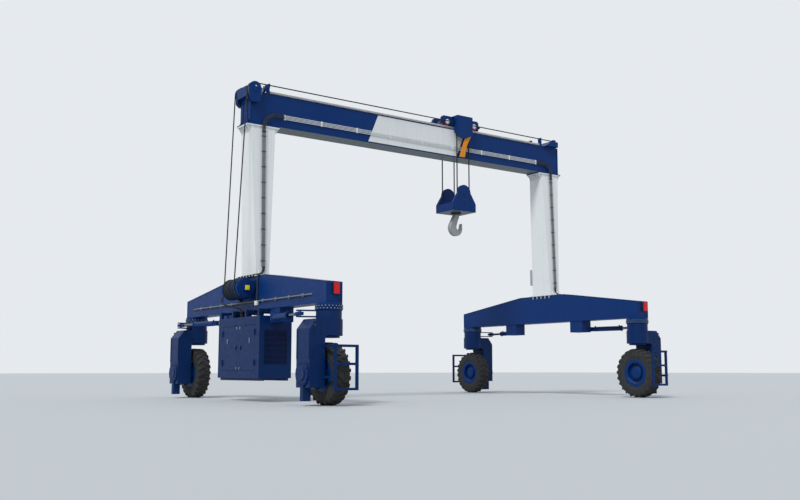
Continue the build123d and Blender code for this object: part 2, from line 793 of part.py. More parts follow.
def winch_frame():
    face = -WHEEL_X - BEAM_W / 2
    reach = DRUM_HALF_L + SWING
    outer = reach + STAND_T
    frame = rod_y(DRUM_SHAFT_D / 2, -outer, outer, DRUM_X, DRUM_Z)
    stand_outline = [(face, DRUM_Z - STAND_FOOT_H), (face, DRUM_Z + STAND_FOOT_H * 0.75),
                     (DRUM_X, DRUM_Z + STAND_HEAD_R), (DRUM_X, DRUM_Z - STAND_HEAD_R)]
    for side in (-1, 1):
        low = min(side * reach, side * outer)
        high = max(side * reach, side * outer)
        frame += plate_xz(stand_outline, low, high)
        frame += rod_y(STAND_HEAD_R, low, high, DRUM_X, DRUM_Z)
        frame += box(face - RIB_T, face, side * reach, side * (outer + STAND_T),
                     DRUM_Z - STAND_FOOT_H, DRUM_Z + STAND_FOOT_H * 0.75)
    y = -outer
    frame += rod_y(MOTOR_R, y - MOTOR_L, y, DRUM_X, DRUM_Z)
    frame += rod_y(MOTOR_R * 0.88, y - MOTOR_L - MOTOR_STEP, y - MOTOR_L, DRUM_X, DRUM_Z)
    cap = MOTOR_CAP / 2
    y -= MOTOR_L + MOTOR_STEP
    return frame + box(DRUM_X - cap, DRUM_X + cap, y - cap, y, DRUM_Z - cap, DRUM_Z + cap)


# Cabinet on the rear of the right leg
def leg_cabinet():
    low = BEAM_TOP + CABINET_ABOVE_BEAM
    high = low + CABINET_H
    out = leg_half_y(low) + CABINET_DEPTH
    return plate_yz([(leg_half_y(low), low), (out, low), (out, high), (leg_half_y(high), high)],
                    WHEEL_X - CABINET_W / 2, WHEEL_X + CABINET_W / 2)


# One steering unit, first made at the crane's own corner
def corner(side, end):
    """Place of a corner's own frame: side along X, end along Y."""
    return side * WHEEL_X, end * AXLE_Y


def knuckle(side, end):
    """Turned column under the slew ring, side arm with its cap and foot, hub, cylinder lugs, guard."""
    x, y = corner(side, end)

    def out(d):
        return x + side * d

    def along(d):
        return y + end * d

    boss_z = HEAD_BOTTOM - HEAD_BOSS_H
    ring_r = RING_D / 2
    column_r = COLUMN_D / 2
    # Columns: radius, height
    profile = [(0, boss_z), (column_r - HEAD_BOSS_H, boss_z), (column_r - HEAD_BOSS_H, HEAD_BOTTOM),
               (HEAD_R, HEAD_BOTTOM), (HEAD_R, HEAD_TOP), (column_r, HEAD_TOP),
               (column_r, RING_BOTTOM - RING_FLARE), (ring_r, RING_BOTTOM), (ring_r, RING_SPLIT),
               (0, RING_SPLIT)]
    turned = revolve(make_face(Polyline(*[(r, 0, z) for r, z in profile], close=True)), Axis.Z)
    unit = Location((x, y, 0)) * turned
    arm_outline = [(out(0), HEAD_BOTTOM), (out(0), HEAD_TOP), (out(ARM_OUT - ARM_CHAMFER_X), HEAD_TOP),
                   (out(ARM_OUT), HEAD_TOP - ARM_CHAMFER_Z), (out(ARM_OUT), ARM_BOTTOM),
                   (out(ARM_IN), ARM_BOTTOM), (out(ARM_IN), HEAD_BOTTOM)]
    unit += plate_xz(arm_outline, y - ARM_HALF_Y, y + ARM_HALF_Y)
    r = ARM_CORNER_R
    corner_piece = box(out(ARM_IN - r), out(ARM_IN), y - ARM_HALF_Y, y + ARM_HALF_Y,
                       HEAD_BOTTOM - r, HEAD_BOTTOM)
    unit += corner_piece - rod_y(r, y - ARM_HALF_Y - 1, y + ARM_HALF_Y + 1, out(ARM_IN - r), HEAD_BOTTOM - r)
    unit += plate_xz([(out(ARM_IN), ARM_BOTTOM), (out(ARM_IN + WEDGE_W), ARM_BOTTOM),
                      (out(ARM_IN + WEDGE_W / 2), ARM_BOTTOM - WEDGE_H)],
                     y - ARM_HALF_Y / 2, y + ARM_HALF_Y / 2)
    # Cap on the outer face, its rim stepped, and the foot post under it
    unit += rod_x(CAP_R, out(ARM_OUT), out(CAP_OUT - CAP_STEP), y, AXLE_Z)
    unit += rod_x(CAP_R - CAP_STEP, out(CAP_OUT - CAP_STEP), out(CAP_OUT), y, AXLE_Z)
    unit += box(out(FOOT_IN), out(CAP_OUT - CAP_STEP), along(-FOOT_HALF_Y), along(FOOT_HALF_Y),
                FOOT_BOTTOM, AXLE_Z - CAP_R / 2)
    # Hub housing that reaches into the rim's hollow, and the spindle that the rim turns on
    unit += rod_x(HUB_HOUSING_R, out(HUB_HOUSING_END), out(ARM_IN), y, AXLE_Z)
    unit += rod_x(SPINDLE_D / 2, out(-SPINDLE_PAST), out(HUB_HOUSING_END), y, AXLE_Z)
    for way in (-1, 1):
        z = CYL_Z + way * LUG_GAP / 2
        far = z + way * LUG_T
        pin_x, pin_y = out(EYE_OUT), along(-EYE_IN)
        lug = rod_z(EYE_D / 2, min(z, far), max(z, far), pin_x, pin_y)
        length = hypot(EYE_OUT, EYE_IN)
        angle = degrees(atan2(pin_y - y, pin_x - x))
        strap = Location((x, y, (z + far) / 2), (0, 0, angle)) * Location((length / 2, 0, 0)) \
            * Box(length, EYE_D, LUG_T)
        unit += lug + strap
    return unit + guard(side, end)


def guard(side, end):
    """Square tube frame in front of a wheel, held by two tubes from the arm."""
    x, y = corner(side, end)
    t = GUARD_TUBE / 2
    near = y + end * (GUARD_Y - t)
    far = y + end * (GUARD_Y + t)
    frame = None
    for z in (GUARD_BOTTOM + t, GUARD_MID, GUARD_TOP - t):
        bar = box(x - GUARD_HALF_X, x + GUARD_HALF_X, near, far, z - t, z + t)
        frame = bar if frame is None else frame + bar
    for way in (-1, 1):
        post = x + way * (GUARD_HALF_X - t)
        frame += box(post - t, post + t, near, far, GUARD_BOTTOM, GUARD_TOP)
    hold = x + side * (ARM_IN + t)
    for z in (GUARD_TOP - t, (GUARD_BOTTOM + GUARD_MID) / 2):
        frame += box(hold - t, hold + t, y + end * ARM_HALF_Y, far, z - t, z + t)
    return frame


def tyre_at_origin():
    """Earthmover tyre: a faceted carcass with one skewed tread block on each facet."""
    pitch = 360 / TYRE_FACETS
    r = TYRE_D / 2
    half = TYRE_W / 2
    bead = RIM_D / 2 + SEAT
    crown = r - TREAD_DEPTH
    shoulder = crown - TREAD_DEPTH * 0.6
    flank = crown - TREAD_DEPTH * 2.6
    # Columns: distance from the middle plane, radius of that section
    stations = [(-RIM_W / 2, bead + BEAD_RISE), (-half, flank),
                (-half * 0.8, shoulder), (-half * 0.45, crown),
                (half * 0.45, crown), (half * 0.8, shoulder), (half, flank), (RIM_W / 2, bead + BEAD_RISE)]
    rings = [Location((0, 0, w), (0, 0, pitch / 2)) * RegularPolygon(ring_r, TYRE_FACETS)
             for w, ring_r in stations]
    body = loft(rings, ruled=True)
    bore = Location((0, 0, -half), (0, 0, pitch / 2)) * RegularPolygon(bead, TYRE_FACETS, major_radius=False)
    body -= extrude(bore, amount=TYRE_W)
    lead = (TREAD_T + TREAD_SKEW) / 2
    tip = sqrt(r ** 2 - lead ** 2)
    # Columns: radius, distance from the middle plane
    section = [(crown - 3 * TREAD_DEPTH, 0.08 * half), (tip, 0.06 * half), (tip, 0.7 * half),
               (tip - 0.8 * TREAD_DEPTH, 0.93 * half), (tip - 3.4 * TREAD_DEPTH, half + TREAD_OUT),
               (crown - 4 * TREAD_DEPTH, 0.9 * half)]
    blocks = []
    for step in range(TYRE_FACETS):
        way = 1 if step % 2 else -1
        slanted = [(a, (b / half) * TREAD_SKEW - lead, way * b) for a, b in section]
        block = extrude(make_face(Polyline(*slanted, close=True)), amount=TREAD_T, dir=(0, 1, 0))
        blocks.append(Location((0, 0, 0), (0, 0, step * pitch)) * block)
    turn = degrees(atan2(lead, tip)) - pitch / 2
    return Location((0, 0, 0), (0, 0, turn)) * body.fuse(*blocks)


def tyre(side, end):
    x, y = corner(side, end)
    return Location((x, y, AXLE_Z), (0, 90, 0)) * TYRE


def rim(side, end):
    """Rim with a sunk disc and a nose towards the crane's middle, hollow towards the arm."""
    x, y = corner(side, end)
    bead = RIM_D / 2
    half = RIM_W / 2
    flange = RIM_FLANGE_D / 2
    dish = DISH_D / 2
    hub = HUB_D / 2
    bore = SPINDLE_D / 2 + RUN
    disc_in = half - DISH_DEPTH
    disc_out = disc_in - DISC_T
    hub_out = SWING - HUB_HOUSING_END
    nose = half - 10
    # Columns: radius, distance along the axle from the wheel plane, inwards positive
    points = [
        (bead, -half - 2), (bead, half + 2), (flange, half + 12), (flange, half + 22), (dish + 25, half + 22),
        (dish, half), (dish - 15, disc_in), (hub + 15, disc_in), (hub, nose - 30), (hub - 60, nose),
        (0, nose), (0, SPINDLE_PAST + SWING), (bore, SPINDLE_PAST + SWING), (bore, hub_out),
        (bore + 80, hub_out), (bore + 90, disc_out), (HUB_HOUSING_R + 45, disc_out),
        (HUB_HOUSING_R + 65, -half - 22), (flange, -half - 22), (flange, -half - 12),
    ]
    ring = revolve(make_face(Polyline(*[(a, 0, b) for a, b in points], close=True)), Axis.Z)
    return Location((x, y, AXLE_Z), (0, -90 * side, 0)) * ring


def cylinder_line(side, end):
    """Pivot and eye places of a steering cylinder, and its heading."""
    x, y = corner(side, end)
    pivot = (x + side * PIVOT_OUT, y - end * PIVOT_IN)
    eye = (x + side * EYE_OUT, y - end * EYE_IN)
    heading = degrees(atan2(eye[1] - pivot[1], eye[0] - pivot[0]))
    return pivot, eye, heading, hypot(eye[0] - pivot[0], eye[1] - pivot[1])


def barrel(side, end):
    pivot, eye, heading, length = cylinder_line(side, end)
    boss = rod_z(PIVOT_BOSS_R, -EYE_T / 2, EYE_T / 2, 0, 0)
    tube = rod_x(BARREL_D / 2, BARREL_FROM, BARREL_L, 0, 0)
    tube += box(0, BARREL_FROM + RIB_T / 2, -TAIL_HALF_W, TAIL_HALF_W, -EYE_T / 2, EYE_T / 2)
    tube += rod_x(BARREL_D / 2 + GLAND_OUT, BARREL_L - GLAND_L, BARREL_L, 0, 0)
    body = tube + boss
    body -= rod_z(PIVOT_PIN_R + RUN, -EYE_T, EYE_T, 0, 0)
    body -= rod_x(ROD_D / 2 + RUN, BARREL_FROM + BARREL_END_T, BARREL_L + 1, 0, 0)
    return Location((pivot[0], pivot[1], CYL_Z), (0, 0, heading)) * body


def rod(side, end):
    pivot, eye, heading, length = cylinder_line(side, end)
    body = rod_x(ROD_D / 2, BARREL_L - ROD_IN_BARREL, length - EYE_D / 3, 0, 0)
    body += rod_z(EYE_D / 2, -EYE_T / 2, EYE_T / 2, length, 0)
    body += rod_z(EYE_T / 2, EYE_PLAY - LUG_GAP / 2, LUG_GAP / 2 - EYE_PLAY, length, 0)
    return Location((pivot[0], pivot[1], CYL_Z), (0, 0, heading)) * body


# Trolley: two side frames on the rails, wheels, housing and arm
def trolley_frame():
    """Two truck frames with cut-back noses, pockets for the wheels, hub discs, buffers, cross bars."""
    half = TROLLEY_L / 2
    frame = None
    low = RAIL_TOP + FRAME_ABOVE_RAIL
    pocket = TRUCK_WHEEL_D / 2 + SWING
    pocket_w = TRUCK_WHEEL_W / 2 + SWING
    cut = NOSE_CUT
    outline = [(TROLLEY_X - half, low + cut / 2), (TROLLEY_X - half + cut / 2, low),
               (TROLLEY_X + half - cut / 2, low), (TROLLEY_X + half, low + cut / 2),
               (TROLLEY_X + half, TROLLEY_TOP - cut), (TROLLEY_X + half - cut, TROLLEY_TOP),
               (TROLLEY_X - half + cut, TROLLEY_TOP), (TROLLEY_X - half, TROLLEY_TOP - cut)]
    for side in (-1, 1):
        y = side * RAIL_GAUGE / 2
        beam = plate_xz(outline, y - FRAME_W / 2, y + FRAME_W / 2)
        face = y + side * FRAME_W / 2
        for way in (-1, 1):
            x = TROLLEY_X + way * TRUCK_BASE / 2
            beam -= box(x - pocket, x + pocket, y - pocket_w, y + pocket_w, low - 1, TRUCK_AXLE_Z + pocket)
            beam += rod_y(TRUCK_PIN_D / 2, y - FRAME_W / 2, y + FRAME_W / 2, x, TRUCK_AXLE_Z)
            beam += rod_y(TRUCK_CAP_R, face, face + side * TRUCK_CAP_T, x, TRUCK_AXLE_Z)
            nose = TROLLEY_X + way * half
            beam += rod_x(BUFFER_R * 0.6, nose, nose + way * BUFFER_L, y, BUFFER_Z)
            beam += rod_x(BUFFER_R, nose + way * BUFFER_L / 2, nose + way * BUFFER_L, y, BUFFER_Z)
        frame = beam if frame is None else frame + beam
    inner = RAIL_GAUGE / 2 - FRAME_W / 2
    for way in (-1, 1):
        x = TROLLEY_X + way * CROSS_BAR_X
        frame += box(x - CROSS_BAR_W / 2, x + CROSS_BAR_W / 2, -inner, inner,
                     TRUCK_AXLE_Z, TROLLEY_TOP)
    return frame


def trolley_axle(way):
    """The two wheels at one end of the trolley, each on its own pin."""
    wheels = []
    reach = TRUCK_WHEEL_W / 2
    for side in (-1, 1):
        y = side * RAIL_GAUGE / 2
        x = TROLLEY_X + way * TRUCK_BASE / 2
        wheel = rod_y(TRUCK_WHEEL_D / 2, y - reach, y + reach, x, TRUCK_AXLE_Z)
        wheels.append(wheel - rod_y(TRUCK_PIN_D / 2 + RUN, y - 2 * reach, y + 2 * reach, x, TRUCK_AXLE_Z))
    return wheels


def trolley_housing():
    """A sheave housing on each side with a V-shaped skirt, joined by a plate over the frames."""
    half = HOUSING_W / 2
    x0 = TROLLEY_X - half
    x1 = TROLLEY_X + half
    top = TROLLEY_TOP + HOUSING_PLATE_T
    bottom = GIRDER_TOP - HOUSING_DROP
    slot_half = ROPE_R + ROPE_SLOT_GAP
    body = box(x0, x1, -HOUSING_Y_IN, HOUSING_Y_IN, TROLLEY_TOP, top)
    for side in (-1, 1):
        y0 = side * HOUSING_Y_IN
        y1 = side * HOUSING_Y_OUT
        body += box(x0, x1, y0, y1, bottom, top)
        skirt = [(x0, bottom), (x1, bottom), (x1, bottom - SKIRT_MIN), (TROLLEY_X, bottom - SKIRT_MAX),
                 (x0, bottom - SKIRT_MAX * 0.7)]
        body += plate_xz(skirt, min(y1, y1 - side * SKIRT_T), max(y1, y1 - side * SKIRT_T))
        body -= box(x0 - 1, x1 + 1, side * (ROPE_Y - slot_half), side * (ROPE_Y + slot_half),
                    ROPE_Z - slot_half, ROPE_Z + slot_half)
    return body


def trolley_arm():
    """A folded plate that leans from the housing down past the girder."""
    y = -HOUSING_Y_OUT + SKIRT_T
    top = GIRDER_TOP - HOUSING_DROP
    main = plate_xz([(TROLLEY_X + STRAP_TOP_X, top), (TROLLEY_X + STRAP_TOP_X + STRAP_TOP_W, top),
                     (TROLLEY_X + STRAP_FOOT_X + STRAP_FOOT_W, GIRDER_BOTTOM),
                     (TROLLEY_X + STRAP_FOOT_X, GIRDER_BOTTOM)], y, y + STRAP_T)
    fold_x = TROLLEY_X + (STRAP_TOP_X + STRAP_TOP_W + STRAP_FOOT_X + STRAP_FOOT_W) / 2
    fold_z = (top + GIRDER_BOTTOM) / 2
    wing_x = TROLLEY_X + STRAP_TOP_X + STRAP_TOP_W
    wing = plate_xz([(wing_x - STRAP_T, top), (wing_x + STRAP_TOP_W, top), (fold_x, fold_z)],
                    y, y + 2 * STRAP_T)
    return main + wing


def hoist_falls():
    """Four rope falls between the trolley and the hook block."""
    falls = []
    for way in (-1, 1):
        for side in (-1, 1):
            falls.append(rod_z(ROPE_R, FALL_END_Z + SEAT, GIRDER_TOP - HOUSING_DROP,
                               HOOK_X + way * FALL_GAP / 2, side * ROPE_Y))
    return falls


# Hook block
def hook_block():
    """Low base box, a domed cheek over each end of it, pin bosses, and the collar of the hook."""
    half = BLOCK_L / 2
    z0 = BLOCK_BOTTOM
    z1 = BLOCK_BOTTOM + BLOCK_BASE_H
    top = BLOCK_TOP - DOME_R
    body = box(HOOK_X - half, HOOK_X + half, -BLOCK_W / 2, BLOCK_W / 2, z0, z1)
    for side in (-1, 1):
        outer = side * BLOCK_W / 2
        inner = outer - side * CHEEK_T
        cheek = plate_xz([(HOOK_X - half, z1), (HOOK_X + half, z1), (HOOK_X + DOME_R, top),
                          (HOOK_X - DOME_R, top)], min(inner, outer), max(inner, outer))
        cheek += rod_y(DOME_R, inner, outer, HOOK_X, top)
        for boss_z, boss_r in ((top, DOME_R * 0.38), (z1 + BLOCK_BASE_H * 0.2, DOME_R * 0.28)):
            cheek += rod_y(boss_r, outer, outer + side * PIN_BOSS_T, HOOK_X, boss_z)
            cheek += rod_y(boss_r * 0.5, outer, outer + side * 2 * PIN_BOSS_T, HOOK_X, boss_z)
        for way in (-1, 1):
            cheek -= rod_z(ROPE_R + ROPE_SLOT_GAP, FALL_END_Z, BLOCK_TOP,
                           HOOK_X + way * FALL_GAP / 2, side * ROPE_Y)
        body += cheek
    body += rod_z(COLLAR_R, z0 - COLLAR_H, z0, HOOK_X, 0)
    return body - rod_z(SHANK_R + RUN, z0 - COLLAR_H - 1, z0 + SHANK_IN + SWING, HOOK_X, 0)


def hook():
    """Forged hook: one outline of arcs, its edges bevelled, on a round shank; the mouth looks to +X."""
    r_out = HOOK_OUT_R
    r_in = HOOK_IN_R
    out_x = -HOOK_BACK
    neck_z = HOOK_H - COLLAR_H - SWING
    in_z = r_out + HOOK_IN_RISE
    start = (out_x + r_out * cos(radians(145)), r_out + r_out * sin(radians(145)))
    left = (out_x + r_out * cos(radians(215)), r_out + r_out * sin(radians(215)))
    right = (out_x + r_out, r_out)
    foot = (out_x + r_out * cos(radians(300)), r_out + r_out * sin(radians(300)))
    tip_out = (out_x + r_out - HOOK_TIP_W / 4, r_out + HOOK_TIP_H)
    tip_in = (tip_out[0] - HOOK_TIP_W, tip_out[1])
    inner_start = (HOOK_IN_X + r_in * cos(radians(-20)), in_z + r_in * sin(radians(-20)))
    inner_mid = (HOOK_IN_X + r_in * cos(radians(-100)), in_z + r_in * sin(radians(-100)))
    inner_end = (HOOK_IN_X - r_in, in_z)
    throat = (HOOK_IN_X - r_in * 0.75, in_z + r_in)
    neck = NECK_HALF

    def at(point):
        return (point[0], 0, point[1])

    outline = [
        Line(at((-neck, neck_z)), at(start)),
        ThreePointArc(at(start), at(left), at(foot)),
        ThreePointArc(at(foot), at((out_x + r_out * cos(radians(330)), r_out + r_out * sin(radians(330)))),
                      at(right)),
        Line(at(right), at(tip_out)),
        Line(at(tip_out), at(tip_in)),
        Line(at(tip_in), at(inner_start)),
        ThreePointArc(at(inner_start), at(inner_mid), at(inner_end)),
        ThreePointArc(at(inner_end), at(throat), at((neck, neck_z - neck))),
        Line(at((neck, neck_z - neck)), at((neck, neck_z))),
        Line(at((neck, neck_z)), at((-neck, neck_z))),
    ]
    face = make_face(Wire(outline))
    plate = Location((0, -HOOK_T / 2, 0)) * extrude(face, amount=HOOK_T, dir=(0, 1, 0))
    sides = plate.faces().filter_by(Axis.Y)
    body = chamfer(sides.edges(), HOOK_BEVEL)
    body += rod_z(SHANK_R, neck_z, HOOK_H + SHANK_IN, 0, 0)
    return Location((HOOK_X, 0, HOOK_BOTTOM)) * body


TYRE = tyre_at_origin()
SIDES = [("left", -1), ("right", 1)]
ENDS = [("front", -1), ("rear", 1)]

save(main_girder() + leg_seat(-1) + leg_seat(1), "main_girder")
save(trolley_rails(), "trolley_rails")
save(rail_stops(), "rail_stops")
save(sheave_bracket(), "sheave_bracket")
save(Compound(children=end_sheaves()), "end_sheaves")
save(rope_anchor(), "rope_anchor")
save(Compound(children=hoist_ropes()), "hoist_ropes")
save(sign_panel(), "sign_panel")
save(cable_tray(), "cable_tray")
save(Compound(children=travel_lamps()), "travel_lamps")
save(power_pack_casing(), "power_pack_casing")
save(power_pack_engine(), "power_pack_engine")
save(drum(), "winch_drum")
save(winch_frame(), "winch_frame")
save(leg_cabinet(), "leg_cabinet")
save(trolley_frame(), "trolley_frame")
save(Compound(children=trolley_axle(-1)), "trolley_wheels_left")
save(Compound(children=trolley_axle(1)), "trolley_wheels_right")
save(trolley_housing(), "trolley_housing")
save(trolley_arm(), "trolley_arm")
save(Compound(children=hoist_falls()), "hoist_falls")
save(hook_block(), "hook_block")
save(hook(), "hook")

for side_name, side in SIDES:
    save(leg(side), "leg_" + side_name)
    save(carriage_beam(side), "carriage_beam_" + side_name)
    save(cable_bundle(side), "cable_bundle_" + side_name)
    for end_name, end in ENDS:
        tag = side_name + "_" + end_name
        save(knuckle(side, end), "steering_unit_" + tag)
        save(tyre(side, end), "tyre_" + tag)
        save(rim(side, end), "rim_" + tag)
        save(barrel(side, end), "cylinder_barrel_" + tag)
        save(rod(side, end), "cylinder_rod_" + tag)

for end_name, end in ENDS:
    save(power_pack_door(end), "power_pack_door_" + end_name)
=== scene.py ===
from math import cos, pi, radians, sin

import bmesh
import bpy
from mathutils import Matrix, Vector


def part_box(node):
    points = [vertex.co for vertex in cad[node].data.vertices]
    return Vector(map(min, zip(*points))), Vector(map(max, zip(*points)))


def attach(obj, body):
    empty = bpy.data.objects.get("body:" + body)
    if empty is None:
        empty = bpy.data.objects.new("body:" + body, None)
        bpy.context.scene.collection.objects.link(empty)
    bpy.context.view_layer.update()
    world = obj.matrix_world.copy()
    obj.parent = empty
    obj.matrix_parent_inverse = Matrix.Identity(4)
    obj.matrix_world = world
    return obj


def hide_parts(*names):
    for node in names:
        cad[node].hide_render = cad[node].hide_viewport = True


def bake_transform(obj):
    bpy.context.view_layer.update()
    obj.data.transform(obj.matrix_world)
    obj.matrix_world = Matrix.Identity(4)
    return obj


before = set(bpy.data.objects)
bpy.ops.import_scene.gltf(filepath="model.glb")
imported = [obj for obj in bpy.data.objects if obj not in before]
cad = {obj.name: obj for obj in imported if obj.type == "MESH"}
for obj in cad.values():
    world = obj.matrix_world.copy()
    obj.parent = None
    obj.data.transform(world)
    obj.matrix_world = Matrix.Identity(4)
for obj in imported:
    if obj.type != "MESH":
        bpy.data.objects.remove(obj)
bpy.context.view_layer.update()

# Carriage beams: long tapered boxes of welded steel plate over the wheels of each side,
# sprayed with navy enamel, faded and dusty on what looks up. The cylinder brackets and the
# fixed half of each slew ring are welded under them.
WHEEL_X = 6.95
AXLE_Y = 4.965
BEAM_FACE = WHEEL_X + 0.27
BEAM_HALF_L = 5.27
SIDES = (("left", -1), ("right", 1))
ENDS = (("front", -1), ("rear", 1))
CORNERS = [(side_name + "_" + end_name, side, end)
           for side_name, side in SIDES for end_name, end in ENDS]


def linear(code):
    """A linear colour from an sRGB hex value."""
    parts = [int(code[i:i + 2], 16) / 255 for i in (1, 3, 5)]
    return [c / 12.92 if c <= 0.04045 else ((c + 0.055) / 1.055) ** 2.4 for c in parts] + [1.0]


def add_node(tree, kind, links=None, values=None, **settings):
    """Adds one node with its settings, its linked inputs and its fixed inputs."""
    node = tree.nodes.new(kind)
    for key, value in settings.items():
        setattr(node, key, value)
    for key, value in (values or {}).items():
        node.inputs[key].default_value = value
    for key, (source, output) in (links or {}).items():
        tree.links.new(source.outputs[output], node.inputs[key])
    return node


def blank_material(name):
    material = bpy.data.materials.new(name)
    material.use_nodes = True
    material.node_tree.nodes.clear()
    return material, material.node_tree


def sprayed_enamel(name, paint, faded, grime, roughness, streaks=0.35, dust=0.4, painted_bounce_light=None):
    """Two-pack enamel on steel plate: a little faded in large clouds, streaked by rain down
    the sides, dusty on top, with the fine peel of a spray gun and eased edges."""
    material, tree = blank_material(name)
    place = add_node(tree, "ShaderNodeTexCoord")
    clouds = add_node(tree, "ShaderNodeTexNoise", {"Vector": (place, "Object")},
                      {"Scale": 0.55, "Detail": 4.0, "Roughness": 0.6})
    cloud_share = add_node(tree, "ShaderNodeMapRange", {"Value": (clouds, "Fac")},
                           {"From Min": 0.38, "From Max": 0.72, "To Max": 0.4})
    base = add_node(tree, "ShaderNodeMix", {"Factor": (cloud_share, "Result")},
                    {"A": linear(paint), "B": linear(faded)}, data_type="RGBA")
    # Rain streaks, about 60 mm wide and a metre or two long
    stretch = add_node(tree, "ShaderNodeMapping", {"Vector": (place, "Object")},
                       {"Scale": (9.0, 9.0, 0.45)})
    rain = add_node(tree, "ShaderNodeTexNoise", {"Vector": (stretch, "Vector")},
                    {"Scale": 1.0, "Detail": 5.0, "Roughness": 0.65})
    rain_share = add_node(tree, "ShaderNodeMapRange", {"Value": (rain, "Fac")},
                          {"From Min": 0.54, "From Max": 0.74, "To Max": streaks})
    streaked = add_node(tree, "ShaderNodeMix",
                        {"Factor": (rain_share, "Result"), "A": (base, "Result")},
                        {"B": linear(grime)}, data_type="RGBA")
    facing = add_node(tree, "ShaderNodeNewGeometry")
    upward = add_node(tree, "ShaderNodeSeparateXYZ", {"Vector": (facing, "Normal")})
    patches = add_node(tree, "ShaderNodeTexNoise", {"Vector": (place, "Object")},
                       {"Scale": 7.0, "Detail": 6.0, "Roughness": 0.7})
    lying = add_node(tree, "ShaderNodeMapRange", {"Value": (upward, "Z")},
                     {"From Min": 0.5, "From Max": 1.0, "To Max": dust})
    dusty = add_node(tree, "ShaderNodeMath", {0: (lying, "Result"), 1: (patches, "Fac")},
                     operation="MULTIPLY")
    coloured = add_node(tree, "ShaderNodeMix",
                        {"Factor": (dusty, "Value"), "A": (streaked, "Result")},
                        {"B": linear("#a39c8e")}, data_type="RGBA")
    # Painted bounce light: faces that look down are mixed towards a grey, for light bounced up from
    # the ground.
    if painted_bounce_light:
        below = add_node(tree, "ShaderNodeMapRange", {"Value": (upward, "Z")},
                         {"From Min": -0.8, "From Max": -0.95})
        coloured = add_node(tree, "ShaderNodeMix",
                            {"Factor": (below, "Result"), "A": (coloured, "Result")},
                            {"B": linear(painted_bounce_light)}, data_type="RGBA")
    gloss = add_node(tree, "ShaderNodeMapRange", {"Value": (patches, "Fac")},
                     {"From Min": 0.3, "From Max": 0.7, "To Min": roughness - 0.07,
                      "To Max": roughness + 0.1})
    eased = add_node(tree, "ShaderNodeBevel", None, {"Radius": 0.006}, samples=4)
    # Spray peel, drawn at 9 mm where the real one is 2 mm, so that it still shows
    peel = add_node(tree, "ShaderNodeTexNoise", {"Vector": (place, "Object")},
                    {"Scale": 110.0, "Detail": 2.0})
    bump = add_node(tree, "ShaderNodeBump",
                    {"Height": (peel, "Fac"), "Normal": (eased, "Normal")},
                    {"Strength": 0.08, "Distance": 0.002})
    shader = add_node(tree, "ShaderNodeBsdfPrincipled",
                      {"Base Color": (coloured, "Result"), "Roughness": (gloss, "Result"),
                       "Normal": (bump, "Normal")},
                      {"IOR": 1.45, "Specular IOR Level": 0.15})
    add_node(tree, "ShaderNodeOutputMaterial", {"Surface": (shader, "BSDF")})
    return material


def dress(material, *names):
    """Gives CAD nodes a better material in all their slots."""
    for name in names:
        for slot in cad[name].material_slots:
            slot.material = material


# Navy enamel over blasted plate: deep blue, paler and greyer where sun has faded it
navy_enamel = sprayed_enamel("navy_enamel", "#06306c", "#10396f", "#061f4a", 0.4,
                             streaks=0.35, dust=0.3)
dress(navy_enamel, "carriage_beam_left", "carriage_beam_right")

# Slew ring bolts: M36 hexagon heads on washers, forged, with a chamfered crown, and touched
# up with light grey paint. One bolt is modelled, and copied at the size that each place
# needs round every bolt circle and along every bolt row of the crane.
ALONG_X = (0, pi / 2, 0)
ALONG_Y = (pi / 2, 0, 0)


def nothing_selected():
    bpy.ops.object.select_all(action="DESELECT")


def cylinder(radius, depth, middle, vertices=24, rotation=(0, 0, 0)):
    nothing_selected()
    bpy.ops.mesh.primitive_cylinder_add(vertices=vertices, radius=radius, depth=depth,
                                        location=middle, rotation=rotation)
    return bpy.context.object


def place_in_mesh():
    """Applies the place, turn and size of what is selected."""
    bpy.ops.object.transform_apply(location=True, rotation=True, scale=True)


def pick_faces(test):
    """Opens the active mesh in edit mode and selects the faces whose normal passes a test."""
    place_in_mesh()
    bpy.ops.object.mode_set(mode="EDIT")
    bpy.ops.mesh.select_all(action="DESELECT")
    mesh = bmesh.from_edit_mesh(bpy.context.object.data)
    for face in mesh.faces:
        face.select_set(test(face.normal))
    mesh.select_flush_mode()
    bmesh.update_edit_mesh(bpy.context.object.data)


def raised_face(piece, heading, *steps):
    """Insets the face that looks along a heading and moves it that way, once for each step."""
    heading = Vector(heading)
    pick_faces(lambda normal: normal.dot(heading) > 0.9)
    for width, lift in steps:
        bpy.ops.mesh.inset(thickness=width)
        bpy.ops.transform.translate(value=tuple(heading * lift))
    bpy.ops.object.mode_set(mode="OBJECT")
    return piece


def joined(pieces):
    nothing_selected()
    for piece in pieces:
        piece.select_set(True)
    bpy.context.view_layer.objects.active = pieces[0]
    place_in_mesh()
    if len(pieces) > 1:
        bpy.ops.object.join()
    return pieces[0]


def repeated(master, spots):
    """One object of copies of the master, each from its own mesh."""
    copies = []
    for spot in spots:
        copy = master.copy()
        copy.data = master.data.copy()
        copy.data.transform(spot)
        bpy.context.collection.objects.link(copy)
        copies.append(copy)
    return joined(copies)


def aim(place, heading, size):
    """Sets a master that stands along Z at a place, turned to a heading."""
    turn = Vector((0, 0, 1)).rotation_difference(Vector(heading)).to_matrix().to_4x4()
    return Matrix.Translation(place) @ turn @ Matrix.Scale(size, 4)


def finish_piece(piece, name, material, body, smooth=35):
    """Names a piece, keeps its place in its mesh, and gives it its material and body."""
    nothing_selected()
    piece.select_set(True)
    bpy.context.view_layer.objects.active = piece
    place_in_mesh()
    bpy.ops.object.shade_smooth_by_angle(angle=radians(smooth))
    piece.name = name
    piece.data.name = name
    piece.data.materials.clear()
    piece.data.materials.append(material)
    if body:
        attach(piece, body)
    return piece


